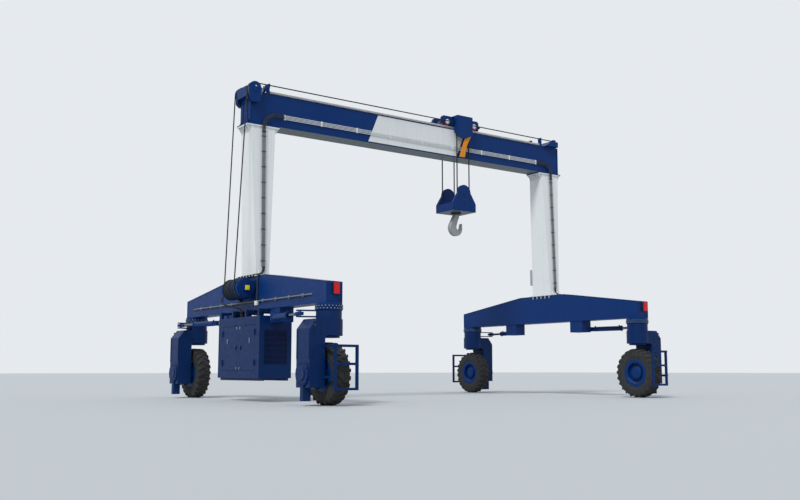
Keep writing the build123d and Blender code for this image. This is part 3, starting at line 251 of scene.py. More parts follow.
# Light grey enamel of clamps, boxes and touched-up bolts: chalky, half matt
pale_enamel = sprayed_enamel("pale_grey_enamel", "#9aa2aa", "#a9b0b5", "#5f666b", 0.42,
                             streaks=0.3)
head = raised_face(cylinder(0.032, 0.024, (0, 0, 0.018), vertices=6), (0, 0, 1), (0.005, 0.004))
bolt = joined([head, cylinder(0.042, 0.006, (0, 0, 0.003), vertices=16)])

RING_R = 0.4195
for corner, side, end in CORNERS:
    spots = []
    for step in range(24):
        for row, z in enumerate((2.95, 2.872)):
            angle = 2 * pi * (step + 0.5 * row) / 24
            place = (side * WHEEL_X + RING_R * cos(angle), end * AXLE_Y + RING_R * sin(angle), z)
            spots.append(aim(place, (cos(angle), sin(angle), 0), 0.42))
    finish_piece(repeated(bolt, spots), "slew_ring_bolts_" + corner, pale_enamel,
                 "steering_" + corner, smooth=30)

# Bolts of the beams' end plates: forged hexagon heads in two rows of four on each plate,
# sprayed over with the beam's navy enamel.


def bolt_row(count, first, pitch, heading, size):
    """Spots in a straight row from a first place, one pitch apart."""
    return [aim([first[i] + step * pitch[i] for i in range(3)], heading, size)
            for step in range(count)]


spots = []
for corner, side, end in CORNERS:
    for column in (-0.23, 0.23):
        spots += bolt_row(4, (side * WHEEL_X + column, end * (BEAM_HALF_L - 0.0005), 3.12),
                          (0, 0, 0.16), (0, end, 0), 0.55)
finish_piece(repeated(bolt, spots), "beam_end_bolts", navy_enamel, "gantry",
             smooth=30)

# Pipe run on the outer face of the left beam: hard hydraulic tube of cold-drawn steel,
# painted grey and held in two-part saddles that are screwed to the plate.
PIPE_X = -(BEAM_FACE + 0.045)
PIPE_Z = 3.34


def block(corner, opposite):
    """A box between two opposite corners, with its place in the mesh."""
    nothing_selected()
    middle = [(a + b) / 2 for a, b in zip(corner, opposite)]
    bpy.ops.mesh.primitive_cube_add(size=1, location=middle)
    bpy.context.object.scale = [abs(b - a) for a, b in zip(corner, opposite)]
    place_in_mesh()
    return bpy.context.object


def rounded(piece, width, segments=2, angle=30):
    """Bevels the sharp edges of a piece by a modifier that is applied."""
    nothing_selected()
    piece.select_set(True)
    bpy.context.view_layer.objects.active = piece
    edge = piece.modifiers.new("edges", "BEVEL")
    edge.width = width
    edge.segments = segments
    edge.angle_limit = radians(angle)
    bpy.ops.object.modifier_apply(modifier=edge.name)
    return piece


def plate(corner, opposite, edge):
    """A bar or plate with its edges rounded off."""
    return rounded(block(corner, opposite), edge)


def tube_run(points, radius):
    """A tube along a smooth curve led by a few control points, made into a mesh."""
    nothing_selected()
    curve = bpy.data.curves.new("run", "CURVE")
    curve.dimensions = "3D"
    spline = curve.splines.new("NURBS")
    spline.points.add(len(points) - 1)
    for point, place in zip(spline.points, points):
        point.co = (*place, 1.0)
    spline.order_u = 3
    spline.use_endpoint_u = True
    spline.resolution_u = 6
    curve.bevel_depth = radius
    curve.bevel_resolution = 3
    curve.use_fill_caps = True
    run = bpy.data.objects.new("run", curve)
    bpy.context.collection.objects.link(run)
    run.select_set(True)
    bpy.context.view_layer.objects.active = run
    bpy.ops.object.convert(target="MESH")
    return bpy.context.object


# Mid grey enamel, brushed thin over drawn tube, so a little uneven
tube_grey = sprayed_enamel("grey_tube_enamel", "#70787f", "#868d92", "#454b50", 0.4, streaks=0.3)
PIPE_ROUTE = ((0.045, -4.42), (0.01, -4.4), (0, -4.3), (0, -2), (0, 2), (0, 4.5), (0.01, 4.6),
              (0.045, 4.62))
pipe = [tube_run([(PIPE_X + inward, y, PIPE_Z) for inward, y in PIPE_ROUTE], 0.024)]
for y in (-3.9, -3.0, -2.1, -1.2, 1.2, 2.1, 3.0, 3.9):
    foot = block((PIPE_X - 0.006, y - 0.05, PIPE_Z - 0.05), (-BEAM_FACE, y + 0.05, PIPE_Z + 0.05))
    pipe.append(rounded(raised_face(foot, (-1, 0, 0), (0.02, 0.024)), 0.006))
finish_piece(joined(pipe), "beam_pipe", tube_grey, "gantry", smooth=40)

# Conduit of the winch's supply: a black plastic sleeve clipped down the beam's face, with a
# pressed junction box at its foot, both screwed to the plate.


def two_tones(name, noise, tones, finish, relief=None, share=None, gloss=None):
    """A finish in two tones that fine noise mixes. The same noise may give it relief, as
    strength and depth, narrow the second tone's share, and vary the gloss."""
    material, tree = blank_material(name)
    place = add_node(tree, "ShaderNodeTexCoord")
    grain = add_node(tree, "ShaderNodeTexNoise", {"Vector": (place, "Object")}, noise)
    mixed_by = (grain, "Fac")
    if share:
        mixed_by = (add_node(tree, "ShaderNodeMapRange", {"Value": (grain, "Fac")}, share),
                    "Result")
    colour = add_node(tree, "ShaderNodeMix", {"Factor": mixed_by},
                      {"A": linear(tones[0]), "B": linear(tones[1])}, data_type="RGBA")
    links = {"Base Color": (colour, "Result")}
    if gloss:
        rough = add_node(tree, "ShaderNodeMapRange", {"Value": (grain, "Fac")}, gloss)
        links["Roughness"] = (rough, "Result")
    if relief:
        bump = add_node(tree, "ShaderNodeBump", {"Height": (grain, "Fac")},
                        {"Strength": relief[0], "Distance": relief[1]})
        links["Normal"] = (bump, "Normal")
    shader = add_node(tree, "ShaderNodeBsdfPrincipled", links, finish)
    add_node(tree, "ShaderNodeOutputMaterial", {"Surface": (shader, "BSDF")})
    return material


# Black ABS of lamp housings, latches and plugs: fine moulded grain, half matt
black_abs = two_tones("black_abs", {"Scale": 400.0, "Detail": 3.0}, ("#17181a", "#292b2e"),
                      {"Roughness": 0.45, "IOR": 1.54}, relief=(0.15, 0.001))
# White enamel of legs, boxes and saddles: bright, with brownish rain streaks
white_enamel = sprayed_enamel("white_enamel", "#e8ecec", "#dde1e0", "#a39b8e", 0.4,
                              streaks=0.25, dust=0.4)
CONDUIT_Y = -0.78
CONDUIT_ROUTE = ((-7.16, 4.235), (-7.235, 4.235), (-7.255, 4.2), (-7.255, 4.0), (-7.255, 3.5),
                 (-7.255, 3.3))
conduit = [tube_run([(x, CONDUIT_Y, z) for x, z in CONDUIT_ROUTE], 0.03)]
for z in (3.6, 3.95):
    conduit.append(plate((-7.262, -0.84, z - 0.02), (-7.235, -0.72, z + 0.02), 0.004))
finish_piece(joined(conduit), "winch_conduit", black_abs, "gantry", smooth=40)
box = raised_face(block((-7.32, -0.86, 3.2), (-7.235, -0.7, 3.35)), (-1, 0, 0), (0.015, 0.012))
finish_piece(rounded(box, 0.008), "junction_box", white_enamel, "gantry")

# Travel lamps: red acrylic lens on the front end of each beam, ribbed inside, in a black
# moulded housing whose rim holds the lens and is screwed to the end plate.
lamp_lens, lens_tree = blank_material("red_acrylic_lens")
lens_place = add_node(lens_tree, "ShaderNodeTexCoord")
# Moulded prisms 12 mm apart inside the lens
prisms = add_node(lens_tree, "ShaderNodeTexWave", {"Vector": (lens_place, "Object")},
                  {"Scale": 26.0, "Distortion": 0.0}, bands_direction="Z")
lens_colour = add_node(lens_tree, "ShaderNodeMix", {"Factor": (prisms, "Fac")},
                       {"A": linear("#c40d14"), "B": linear("#e8222a")}, data_type="RGBA")
lens_bump = add_node(lens_tree, "ShaderNodeBump", {"Height": (prisms, "Fac")},
                     {"Strength": 0.3, "Distance": 0.004})
lens_shader = add_node(lens_tree, "ShaderNodeBsdfPrincipled",
                       {"Base Color": (lens_colour, "Result"), "Normal": (lens_bump, "Normal")},
                       {"Roughness": 0.2, "IOR": 1.49, "Specular IOR Level": 0.3})
add_node(lens_tree, "ShaderNodeOutputMaterial", {"Surface": (lens_shader, "BSDF")})
dress(lamp_lens, "travel_lamps")

lamp_low, lamp_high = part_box("travel_lamps")
rims = []
for side in (-1, 1):
    x = side * WHEEL_X + 0.03
    rim = block((x - 0.105, lamp_low.y + 0.03, lamp_low.z - 0.014),
                (x + 0.105, -BEAM_HALF_L, lamp_high.z + 0.014))
    rims.append(rounded(raised_face(rim, (0, -1, 0), (0.016, -0.06)), 0.006))
finish_piece(joined(rims), "lamp_rims", black_abs, "gantry")

# Steering units: slew ring, turned column, plate arm down the outer side, round hub cap and
# foot post. Welded and machined, navy like the beams, bolted at arm and cap.
AXLE_Z = 0.934
ARM_FACE = 0.8695
CAP_FACE = 0.9205
# The same navy low on the crane, dulled and darkened by road film and oil
lower_enamel = sprayed_enamel("navy_enamel_under_road_film", "#06285a", "#0e305b", "#06193a",
                              0.42, streaks=0.35, dust=0.3)


def bolt_circle(count, radius, middle, heading, size, start=0):
    """Spots evenly round a circle whose bolts all look along X or along Y."""
    x, y, z = middle
    spots = []
    for step in range(count):
        angle = 2 * pi * (step + start) / count
        across = radius * cos(angle)
        place = (x + abs(heading[1]) * across, y + abs(heading[0]) * across,
                 z + radius * sin(angle))
        spots.append(aim(place, heading, size))
    return spots


for corner, side, end in CORNERS:
    unit = "steering_" + corner
    dress(lower_enamel, "steering_unit_" + corner)
    x0 = side * WHEEL_X
    y0 = end * AXLE_Y
    cap_x = x0 + side * CAP_FACE
    outward = (side, 0, 0)
    spots = bolt_circle(12, 0.31, (cap_x - side * 0.001, y0, AXLE_Z), outward, 0.6)
    for way in (-1, 1):
        spots += bolt_row(7, (x0 + side * ARM_FACE, y0 + way * 0.33, 1.42), (0, 0, 0.115),
                          outward, 0.6)
    for column in (0.5, 0.74):
        spots += bolt_row(4, (x0 + side * column, y0 + end * 0.3945, 2.12), (0, 0, 0.11),
                          (0, end, 0), 0.6)
    finish_piece(repeated(bolt, spots), "arm_bolts_" + corner, lower_enamel, unit,
                 smooth=30)
    # Black breather plug high on the arm's end face
    plug = cylinder(0.045, 0.03, (x0 + side * 0.71, y0 + end * 0.4, 2.35), rotation=ALONG_Y)
    finish_piece(rounded(plug, 0.008), "breather_" + corner, black_abs, unit)
    # Cover plate over the axle end, pressed from sheet with a raised middle, screwed to the cap
    cover = cylinder(0.21, 0.016, (cap_x + side * 0.007, y0, AXLE_Z), vertices=40,
                     rotation=ALONG_X)
    raised_face(cover, outward, (0.05, 0.012), (0.03, -0.006))
    finish_piece(rounded(cover, 0.003), "axle_cover_" + corner, lower_enamel, unit)
    # Stiffening strips welded down both edges of the arm's outer face
    strips = [plate((x0 + side * 0.869, y0 + way * 0.375 - 0.012, 1.36),
                    (x0 + side * 0.885, y0 + way * 0.375 + 0.012, 2.24), 0.004)
              for way in (-1, 1)]
    finish_piece(joined(strips), "arm_strips_" + corner, lower_enamel, unit)

# Steering cylinders: navy barrels with a screwed gland and two ports, and a chromed rod with
# a painted eye, forged and screwed on. Each swings on a pin at either end.
CYLINDER_Z = 2.72
# Hard chrome, ground smooth: a dark mirror that wipes oil and dust into faint rings
chrome = two_tones("hard_chrome", {"Scale": 30.0, "Detail": 4.0}, ("#5c646b", "#7b8288"),
                   {"Metallic": 1.0},
                   gloss={"From Min": 0.35, "From Max": 0.7, "To Min": 0.08, "To Max": 0.26})
for corner, side, end in CORNERS:
    dress(navy_enamel, "cylinder_barrel_" + corner)
    dress(chrome, "cylinder_rod_" + corner)
    pivot = Vector((side * (WHEEL_X + 0.42), end * (AXLE_Y - 2.765), CYLINDER_Z))
    eye = Vector((side * (WHEEL_X + 0.8), end * (AXLE_Y - 0.35), CYLINDER_Z))
    reach = (eye - pivot).length
    along = (eye - pivot).normalized()
    up = Vector((0, 0, 1))
    turn = Matrix((along, up.cross(along), up)).transposed().to_4x4()
    # Gland nut with eight spanner flats, and the two ports with their plugs
    fittings = [rounded(cylinder(0.112, 0.05, (1.425, 0, 0), vertices=8, rotation=ALONG_X), 0.006)]
    for port_x in (0.19, 1.33):
        fittings.append(rounded(cylinder(0.028, 0.05, (port_x, 0, 0.108), vertices=6), 0.004))
    fittings = joined(fittings)
    fittings.data.transform(Matrix.Translation(pivot) @ turn)
    finish_piece(fittings, "cylinder_fittings_" + corner, navy_enamel, "cylinder_" + corner)
    # Painted rod eye: forged ring with a clamp collar round the end of the chromed rod
    ring = rounded(cylinder(0.1175, 0.094, (reach, 0, 0), vertices=48), 0.008)
    collar = cylinder(0.066, 0.2, (reach - 0.2, 0, 0), vertices=32, rotation=ALONG_X)
    rod_eye = joined([ring, rounded(collar, 0.008)])
    rod_eye.data.transform(Matrix.Translation(pivot) @ turn)
    finish_piece(rod_eye, "rod_eye_" + corner, navy_enamel, "piston_" + corner)

# Tyres: cross-ply lug tyres for soft yards. Moulded rubber: a bulged carcass, raised rings on
# the sidewall, and slanting lugs that meet along the middle and run down over the shoulders.
CROWN_R = 0.934
yard_rubber, tyre_tree = blank_material("tyre_rubber")
tyre_place = add_node(tyre_tree, "ShaderNodeTexCoord")
# Distance from the axle, the same for all four wheels: mirrored to one corner, then measured
mirrored = add_node(tyre_tree, "ShaderNodeVectorMath", {0: (tyre_place, "Object")},
                    operation="ABSOLUTE")
from_axle = add_node(tyre_tree, "ShaderNodeVectorMath", {0: (mirrored, "Vector")},
                     {1: (WHEEL_X, AXLE_Y, AXLE_Z)}, operation="SUBTRACT")
flat = add_node(tyre_tree, "ShaderNodeVectorMath", {0: (from_axle, "Vector")},
                {1: (0.0, 1.0, 1.0)}, operation="MULTIPLY")
out_from_axle = add_node(tyre_tree, "ShaderNodeVectorMath", {0: (flat, "Vector")},
                         operation="LENGTH")
# Grey-brown yard dust in patches over black rubber
tyre_dust = add_node(tyre_tree, "ShaderNodeTexNoise", {"Vector": (tyre_place, "Object")},
                     {"Scale": 9.0, "Detail": 7.0, "Roughness": 0.65})
tyre_share = add_node(tyre_tree, "ShaderNodeMapRange", {"Value": (tyre_dust, "Fac")},
                      {"From Min": 0.42, "From Max": 0.72, "To Max": 0.7})
tyre_colour = add_node(tyre_tree, "ShaderNodeMix", {"Factor": (tyre_share, "Result")},
                       {"A": linear("#1d1e21"), "B": linear("#3c3a37")}, data_type="RGBA")
# Mould rings 22 mm apart
mould_rings = add_node(tyre_tree, "ShaderNodeMath", {0: (out_from_axle, "Value")}, {1: 285.0},
                       operation="MULTIPLY")
ring_wave = add_node(tyre_tree, "ShaderNodeMath", {0: (mould_rings, "Value")}, operation="SINE")
ring_bump = add_node(tyre_tree, "ShaderNodeBump", {"Height": (ring_wave, "Value")},
                     {"Strength": 0.12, "Distance": 0.003})
grain_bump = add_node(tyre_tree, "ShaderNodeBump",
                      {"Height": (tyre_dust, "Fac"), "Normal": (ring_bump, "Normal")},
                      {"Strength": 0.2, "Distance": 0.004})
tyre_shader = add_node(tyre_tree, "ShaderNodeBsdfPrincipled",
                       {"Base Color": (tyre_colour, "Result"), "Normal": (grain_bump, "Normal")},
                       {"Roughness": 0.82, "IOR": 1.52})
add_node(tyre_tree, "ShaderNodeOutputMaterial", {"Surface": (tyre_shader, "BSDF")})


def normals_outwards():
    bpy.ops.mesh.select_all(action="SELECT")
    bpy.ops.mesh.normals_make_consistent(inside=False)


def cut_through(planes, normal):
    """Cuts the active mesh in edit mode by planes through places on one normal."""
    for place in planes:
        bpy.ops.mesh.select_all(action="SELECT")
        bpy.ops.mesh.bisect(plane_co=place, plane_no=normal)


# Half section of the carcass, from bead to crown: place along the axle, radius
WALL = [(0.196, 0.497), (0.214, 0.512), (0.222, 0.535), (0.216, 0.552), (0.228, 0.575),
        (0.24, 0.62), (0.2465, 0.655), (0.2475, 0.665), (0.2440, 0.675), (0.2475, 0.72),
        (0.247, 0.765), (0.2435, 0.775), (0.2435, 0.79), (0.238, 0.825), (0.222, 0.858),
        (0.195, 0.882), (0.15, 0.893), (0.08, 0.898)]
SECTION = WALL + [(0, 0.9)] + [(-x, r) for x, r in reversed(WALL)] + [(-0.1, 0.493), (0.1, 0.493)]
nothing_selected()
bpy.ops.mesh.primitive_circle_add(vertices=len(SECTION), radius=1)
carcass = bpy.context.object
for vertex, (x, radius) in zip(carcass.data.vertices, SECTION):
    vertex.co = (x, 0, radius)
bpy.ops.object.mode_set(mode="EDIT")
bpy.ops.mesh.select_all(action="SELECT")
bpy.ops.mesh.spin(steps=96, angle=2 * pi, center=(0, 0, 0), axis=(1, 0, 0))
bpy.ops.mesh.select_all(action="SELECT")
bpy.ops.mesh.remove_doubles(threshold=0.0005)
normals_outwards()
bpy.ops.object.mode_set(mode="OBJECT")

# One lug: place across the tread, lean along it, half width, top and bottom radius
LUG = [(0.006, 0.0, 0.03, 0.934, 0.885), (0.075, 0.022, 0.031, 0.934, 0.885),
       (0.14, 0.05, 0.034, 0.933, 0.88), (0.195, 0.082, 0.038, 0.927, 0.865),
       (0.236, 0.11, 0.043, 0.907, 0.838), (0.2525, 0.125, 0.046, 0.868, 0.806)]
lug = block((-0.5, -0.5, -0.5), (0.5, 0.5, 0.5))
bpy.ops.object.mode_set(mode="EDIT")
cut_through([(cut, 0, 0) for cut in (-0.3, -0.1, 0.1, 0.3)], (1, 0, 0))
bpy.ops.object.mode_set(mode="OBJECT")
for vertex in lug.data.vertices:
    across, lean, half, top, bottom = LUG[round((vertex.co.x + 0.5) * 5)]
    radius = top if vertex.co.z > 0 else bottom
    spread = half if vertex.co.z > 0 else half + 0.007
    angle = (lean + (spread if vertex.co.y > 0 else -spread)) / CROWN_R
    vertex.co = (across, radius * sin(angle), radius * cos(angle))
rounded(lug, 0.006, angle=35)

# 24 lugs a side, those of one side half a pitch ahead of the other's
LUGS = 24
spots = []
for step in range(LUGS):
    spots.append(Matrix.Rotation(2 * pi * step / LUGS, 4, "X"))
    spots.append(Matrix.Rotation(2 * pi * (step + 0.5) / LUGS, 4, "X")
                 @ Matrix.Rotation(pi, 4, "Z") @ Matrix.Scale(-1, 4, (0, 1, 0)))
lugs = repeated(lug, spots)
bpy.ops.object.mode_set(mode="EDIT")
normals_outwards()
bpy.ops.object.mode_set(mode="OBJECT")
bpy.data.objects.remove(lug)
tyre = joined([carcass, lugs])
for corner, side, end in CORNERS:
    turned = (Matrix.Translation((side * WHEEL_X, end * AXLE_Y, AXLE_Z))
              @ Matrix.Rotation(pi * (end > 0), 4, "Z"))
    piece = finish_piece(repeated(tyre, [turned]), "lug_tyre_" + corner, yard_rubber,
                         "wheel_" + corner, smooth=32)
    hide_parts("tyre_" + corner)
bpy.data.objects.remove(tyre)

# Rims: pressed and welded steel discs, navy enamel, with a circle of wheel nuts on the sunk
# disc, a raised hub cap with its own screws, and a valve through the disc.

# Brass of the valve: brown tarnish in fine spots over yellow metal
brass = two_tones("brass", {"Scale": 60.0}, ("#8d7440", "#c0a265"),
                  {"Metallic": 1.0, "Roughness": 0.35})
for corner, side, end in CORNERS:
    dress(navy_enamel, "rim_" + corner)
    inward = (-side, 0, 0)
    spots = bolt_circle(16, 0.305, (side * (WHEEL_X - 0.0795), end * AXLE_Y, AXLE_Z), inward, 0.75)
    spots += bolt_circle(8, 0.125, (side * (WHEEL_X - 0.1895), end * AXLE_Y, AXLE_Z), inward, 0.4,
                         start=0.5)
    finish_piece(repeated(bolt, spots), "wheel_nuts_" + corner, navy_enamel, "wheel_" + corner,
                 smooth=30)
    stem = cylinder(0.009, 0.07, (side * (WHEEL_X - 0.15), end * AXLE_Y, AXLE_Z + 0.352),
                    vertices=12, rotation=ALONG_X)
    raised_face(stem, inward, (0.003, 0.012))
    finish_piece(rounded(stem, 0.0015), "valve_" + corner, brass, "wheel_" + corner)

# Power pack: sheet steel casing hung under the left beam on hangers, with two doors, louvred
# ends, a tank and skids. Doors have drip strips, levers, paddle locks and lift-off hinges.
dress(lower_enamel, "power_pack_casing", "power_pack_door_front", "power_pack_door_rear")
PACK_OUT = -7.54
PACK_IN = -6.36
PACK_HALF_L = 1.58
PACK_BOTTOM = 0.775
PACK_TOP = 2.82
DOOR_LOW = 1.043
DOOR_HIGH = 2.527
for end_name, end in ENDS:
    near = end * 0.068
    far = end * 1.232
    # Three flush paddle locks on each door
    locks = []
    for y, z, half_w, half_h in ((near + end * 0.78, 2.02, 0.035, 0.085),
                                 (near + end * 0.05, 2.46, 0.04, 0.045),
                                 (near + end * 0.05, 1.1, 0.03, 0.045)):
        lock = block((PACK_OUT - 0.012, y - half_w, z - half_h),
                     (PACK_OUT - 0.002, y + half_w, z + half_h))
        locks.append(rounded(raised_face(lock, (-1, 0, 0), (0.009, -0.004)), 0.003))
    finish_piece(joined(locks), "door_locks_" + end_name, tube_grey, "door_" + end_name)
    # Latch: black lever on a round rose
    latch_y = end * 0.188
    lever = plate((PACK_OUT - 0.034, latch_y - 0.014, 1.735),
                  (PACK_OUT - 0.02, latch_y + 0.014, 1.865), 0.005)
    rose = rounded(cylinder(0.034, 0.012, (PACK_OUT - 0.026, latch_y, 1.835), rotation=ALONG_X),
                   0.003)
    finish_piece(joined([lever, rose]), "door_latch_" + end_name, black_abs, "door_" + end_name)
    # Drip strips under and over the opening, spot-welded to the casing
    drips = [plate((PACK_OUT - 0.005, near - end * 0.022, z),
                   (PACK_OUT, far + end * 0.022, z + 0.018), 0.002)
             for z in (DOOR_LOW - 0.03, DOOR_HIGH + 0.012)]
    finish_piece(joined(drips), "door_drips_" + end_name, lower_enamel, "gantry")

# Louvre hoods over the two end grilles, pressed from thinner sheet and framed with flat bar.
# Their darker blue is painted shade, standing for the shadow in the grille's recess.
louvre_painted_shade = sprayed_enamel("louvre_navy_painted_shade", "#06183f", "#0c2350", "#040f28", 0.45,
                               streaks=0.3, dust=0.2)
hoods = []
for end in (-1, 1):
    face = end * PACK_HALF_L
    bar_face = face + end * 0.008
    for step in range(18):
        z = 1.275 + 0.06 * step
        hood = block((-7.34, face, z), (-6.56, face + end * 0.012, z + 0.034))
        pick_faces(lambda normal: normal.y * end > 0.9)
        bpy.ops.transform.translate(value=(0, 0, -0.018))
        bpy.ops.object.mode_set(mode="OBJECT")
        hoods.append(rounded(hood, 0.002))
    for x in (-7.365, -6.56):
        hoods.append(plate((x, face, 1.24), (x + 0.025, bar_face, 2.35), 0.002))
    for z in (1.24, 2.33):
        hoods.append(plate((-7.365, face, z), (-6.535, bar_face, z + 0.02), 0.002))
finish_piece(joined(hoods), "grille_louvres", louvre_painted_shade, "gantry")

# Corner angles, stiffening strips and their screws on the casing's sides: flat bar, bent or
# straight, screwed on from outside and painted with the casing.
STRIPS_Y = (-1.05, -0.52, 0, 0.52, 1.05)
trims = []
for x, way in ((PACK_OUT, -1), (PACK_IN, 1)):
    for end in (-1, 1):
        trims.append(plate((x, end * PACK_HALF_L, PACK_BOTTOM + 0.01),
                           (x + way * 0.006, end * (PACK_HALF_L - 0.06), PACK_TOP - 0.01), 0.002))
for y in STRIPS_Y:
    trims.append(plate((PACK_IN, y - 0.03, PACK_BOTTOM + 0.01),
                       (PACK_IN + 0.008, y + 0.03, PACK_TOP - 0.01), 0.003))
for z in (PACK_BOTTOM + 0.03, PACK_TOP - 0.06):
    trims.append(plate((PACK_IN, -1.52, z - 0.025), (PACK_IN + 0.006, 1.52, z + 0.025), 0.002))
finish_piece(joined(trims), "casing_trims", lower_enamel, "gantry")
spots = []
for y in (-1.55, 1.55):
    spots += bolt_row(9, (PACK_OUT - 0.0055, y, 0.9), (0, 0, 0.225), (-1, 0, 0), 0.28)
    spots += bolt_row(9, (PACK_IN + 0.0055, y, 0.9), (0, 0, 0.225), (1, 0, 0), 0.28)
for y in STRIPS_Y:
    spots += bolt_row(5, (PACK_IN + 0.0075, y, 0.95), (0, 0, 0.42), (1, 0, 0), 0.28)
finish_piece(repeated(bolt, spots), "casing_screws", lower_enamel, "gantry",
             smooth=30)

# Engine and pump set behind the doors: cast iron, oily and dark, with a rocker cover,
# cooling ribs and an intake drum, painted in grey machinery enamel.
engine_enamel = sprayed_enamel("engine_grey_enamel", "#6b7073", "#7d8285", "#34312c", 0.45,
                               streaks=0.6)
dress(engine_enamel, "power_pack_engine")
engine_low, engine_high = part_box("power_pack_engine")
cover = block((engine_low.x + 0.14, engine_low.y + 0.2, engine_high.z),
              (engine_high.x - 0.14, engine_high.y - 0.4, engine_high.z + 0.12))
parts = [rounded(raised_face(cover, (0, 0, 1), (0.04, 0.03)), 0.015, segments=3)]
for step in range(6):
    z = engine_low.z + 0.3 + 0.09 * step
    parts.append(plate((engine_low.x - 0.03, engine_low.y + 0.25, z),
                       (engine_low.x, engine_high.y - 0.25, z + 0.03), 0.006))
intake = cylinder(0.13, 0.5, (engine_low.x + 0.1, engine_high.y - 0.3, engine_high.z + 0.13),
                  vertices=32, rotation=ALONG_Y)
pick_faces(lambda normal: abs(normal.y) > 0.9)
bpy.ops.mesh.inset(thickness=0.03)
bpy.ops.mesh.extrude_region_shrink_fatten(TRANSFORM_OT_shrink_fatten={"value": 0.03})
bpy.ops.object.mode_set(mode="OBJECT")
parts.append(rounded(intake, 0.008))
finish_piece(joined(parts), "engine_details", engine_enamel, "gantry")

# Feed pipes of the winch: two stiff steel tubes in black sleeves, bent in one loop and fixed
# at both ends, from the brake at the drum's rear end down to screwed sockets in the
# casing's top.

# Black rubber of sleeves, cables and seals: matt, with a dusty grey bloom in patches
black_rubber = two_tones("black_rubber", {"Scale": 16.0, "Detail": 5.0}, ("#1c1e20", "#4b4d4e"),
                         {"Roughness": 0.78, "IOR": 1.52}, relief=(0.15, 0.003),
                         share={"From Min": 0.4, "From Max": 0.75, "To Max": 0.6})
feed_pipes = []
for beside in (0, 0.05):
    route = [(-7.78, 0.6, 3.62), (-7.8, 0.68, 3.6), (-7.82, 0.84, 3.5),
             (-7.78, 0.88, 3.36 - beside), (-7.66, 0.7, 3.26 - beside),
             (-7.54, 0.4, 3.22 - beside), (-7.45, 0.16, 3.16 - beside), (-7.42, 0.1, 3.05),
             (-7.42, 0.1, 2.81)]
    feed_pipes.append(tube_run([(x + beside, y, z) for x, y, z in route], 0.015))
    socket = cylinder(0.023, 0.09, (-7.42 + beside, 0.1, 2.865), vertices=12)
    feed_pipes.append(rounded(socket, 0.004))
finish_piece(joined(feed_pipes), "winch_feed_pipes", black_rubber, "gantry",
             smooth=40)

# Hoist ropes and falls: galvanised wire rope of six strands, dark with grease. The four
# falls hang from the trolley's sheaves to the hook block and on the crane lengthen with the
# hoist; here they are drawn at one fixed length and follow no body.
TROLLEY_X = 1.985
ROPE_Y = 0.48
FALLS_LOW = 7.9
FALLS_HIGH = 10.55
# The lay shows as slanting dashes, where strands cross a 42 mm rope every 45 mm
wire_rope, rope_tree = blank_material("greased_wire_rope")
rope_place = add_node(rope_tree, "ShaderNodeTexCoord")
rope_turn = add_node(rope_tree, "ShaderNodeMapping", {"Vector": (rope_place, "Object")},
                     {"Rotation": (0.5, 0.5, 0.6)})
strands = add_node(rope_tree, "ShaderNodeTexWave", {"Vector": (rope_turn, "Vector")},
                   {"Scale": 7.0, "Distortion": 0.4}, bands_direction="DIAGONAL")
rope_colour = add_node(rope_tree, "ShaderNodeMix", {"Factor": (strands, "Fac")},
                       {"A": linear("#0c1012"), "B": linear("#22292c")}, data_type="RGBA")
rope_bump = add_node(rope_tree, "ShaderNodeBump", {"Height": (strands, "Fac")},
                     {"Strength": 0.6, "Distance": 0.004})
rope_shader = add_node(rope_tree, "ShaderNodeBsdfPrincipled",
                       {"Base Color": (rope_colour, "Result"), "Normal": (rope_bump, "Normal")},
                       {"Roughness": 0.6, "Specular IOR Level": 0.3})
add_node(rope_tree, "ShaderNodeOutputMaterial", {"Surface": (rope_shader, "BSDF")})
dress(wire_rope, "hoist_ropes")


def laid_rope(x, y, radius):
    """One fall of six-strand rope, straight down, with its lay modelled."""
    mesh = bmesh.new()
    rings = []
    count = round((FALLS_HIGH - FALLS_LOW) / 0.0225)
    for ring in range(count + 1):
        z = FALLS_LOW + (FALLS_HIGH - FALLS_LOW) * ring / count
        lay = 2 * pi * ring / 12
        points = []
        for point in range(12):
            angle = 2 * pi * point / 12 + lay
            reach = radius * (1.0 if point % 2 == 0 else 0.86)
            points.append(mesh.verts.new((x + reach * cos(angle), y + reach * sin(angle), z)))
        rings.append(points)
    for lower, upper in zip(rings, rings[1:]):
        for point in range(12):
            after = (point + 1) % 12
            mesh.faces.new((lower[point], lower[after], upper[after], upper[point]))
    mesh.faces.new(list(reversed(rings[0])))
    mesh.faces.new(rings[-1])
    data = bpy.data.meshes.new("rope")
    mesh.to_mesh(data)
    mesh.free()
    rope = bpy.data.objects.new("rope", data)
    bpy.context.collection.objects.link(rope)
    return rope


falls = joined([laid_rope(TROLLEY_X + across, y, 0.026)
                for across in (-0.31, 0.31) for y in (-ROPE_Y, ROPE_Y)])
falls = finish_piece(falls, "rope_falls", wire_rope, None, smooth=50)
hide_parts("hoist_falls")
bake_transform(falls)

# Winch: welded drum with end and middle flanges, wound with a layer of rope on each half,
# between plate stands with bolted feet. The motor's flange has a yellow cast cap.
dress(navy_enamel, "winch_frame", "winch_drum")
DRUM_X = -7.605
DRUM_Z = 3.785


def round_ring(radius, thickness, middle, vertices):
    """A ring of round section about the Y axis, with its place in the mesh."""
    nothing_selected()
    bpy.ops.mesh.primitive_torus_add(major_radius=radius, minor_radius=thickness,
                                     major_segments=vertices, minor_segments=8,
                                     location=middle, rotation=ALONG_Y)
    place_in_mesh()
    return bpy.context.object


turn_of_rope = round_ring(0.3213, 0.021, (0, 0, 0), 64)
spots = [Matrix.Translation((DRUM_X, way * (0.036 + 0.0428 * step), DRUM_Z))
         for way in (-1, 1) for step in range(10)]
finish_piece(repeated(turn_of_rope, spots), "drum_rope_turns", wire_rope, "drum",
             smooth=60)
bpy.data.objects.remove(turn_of_rope)

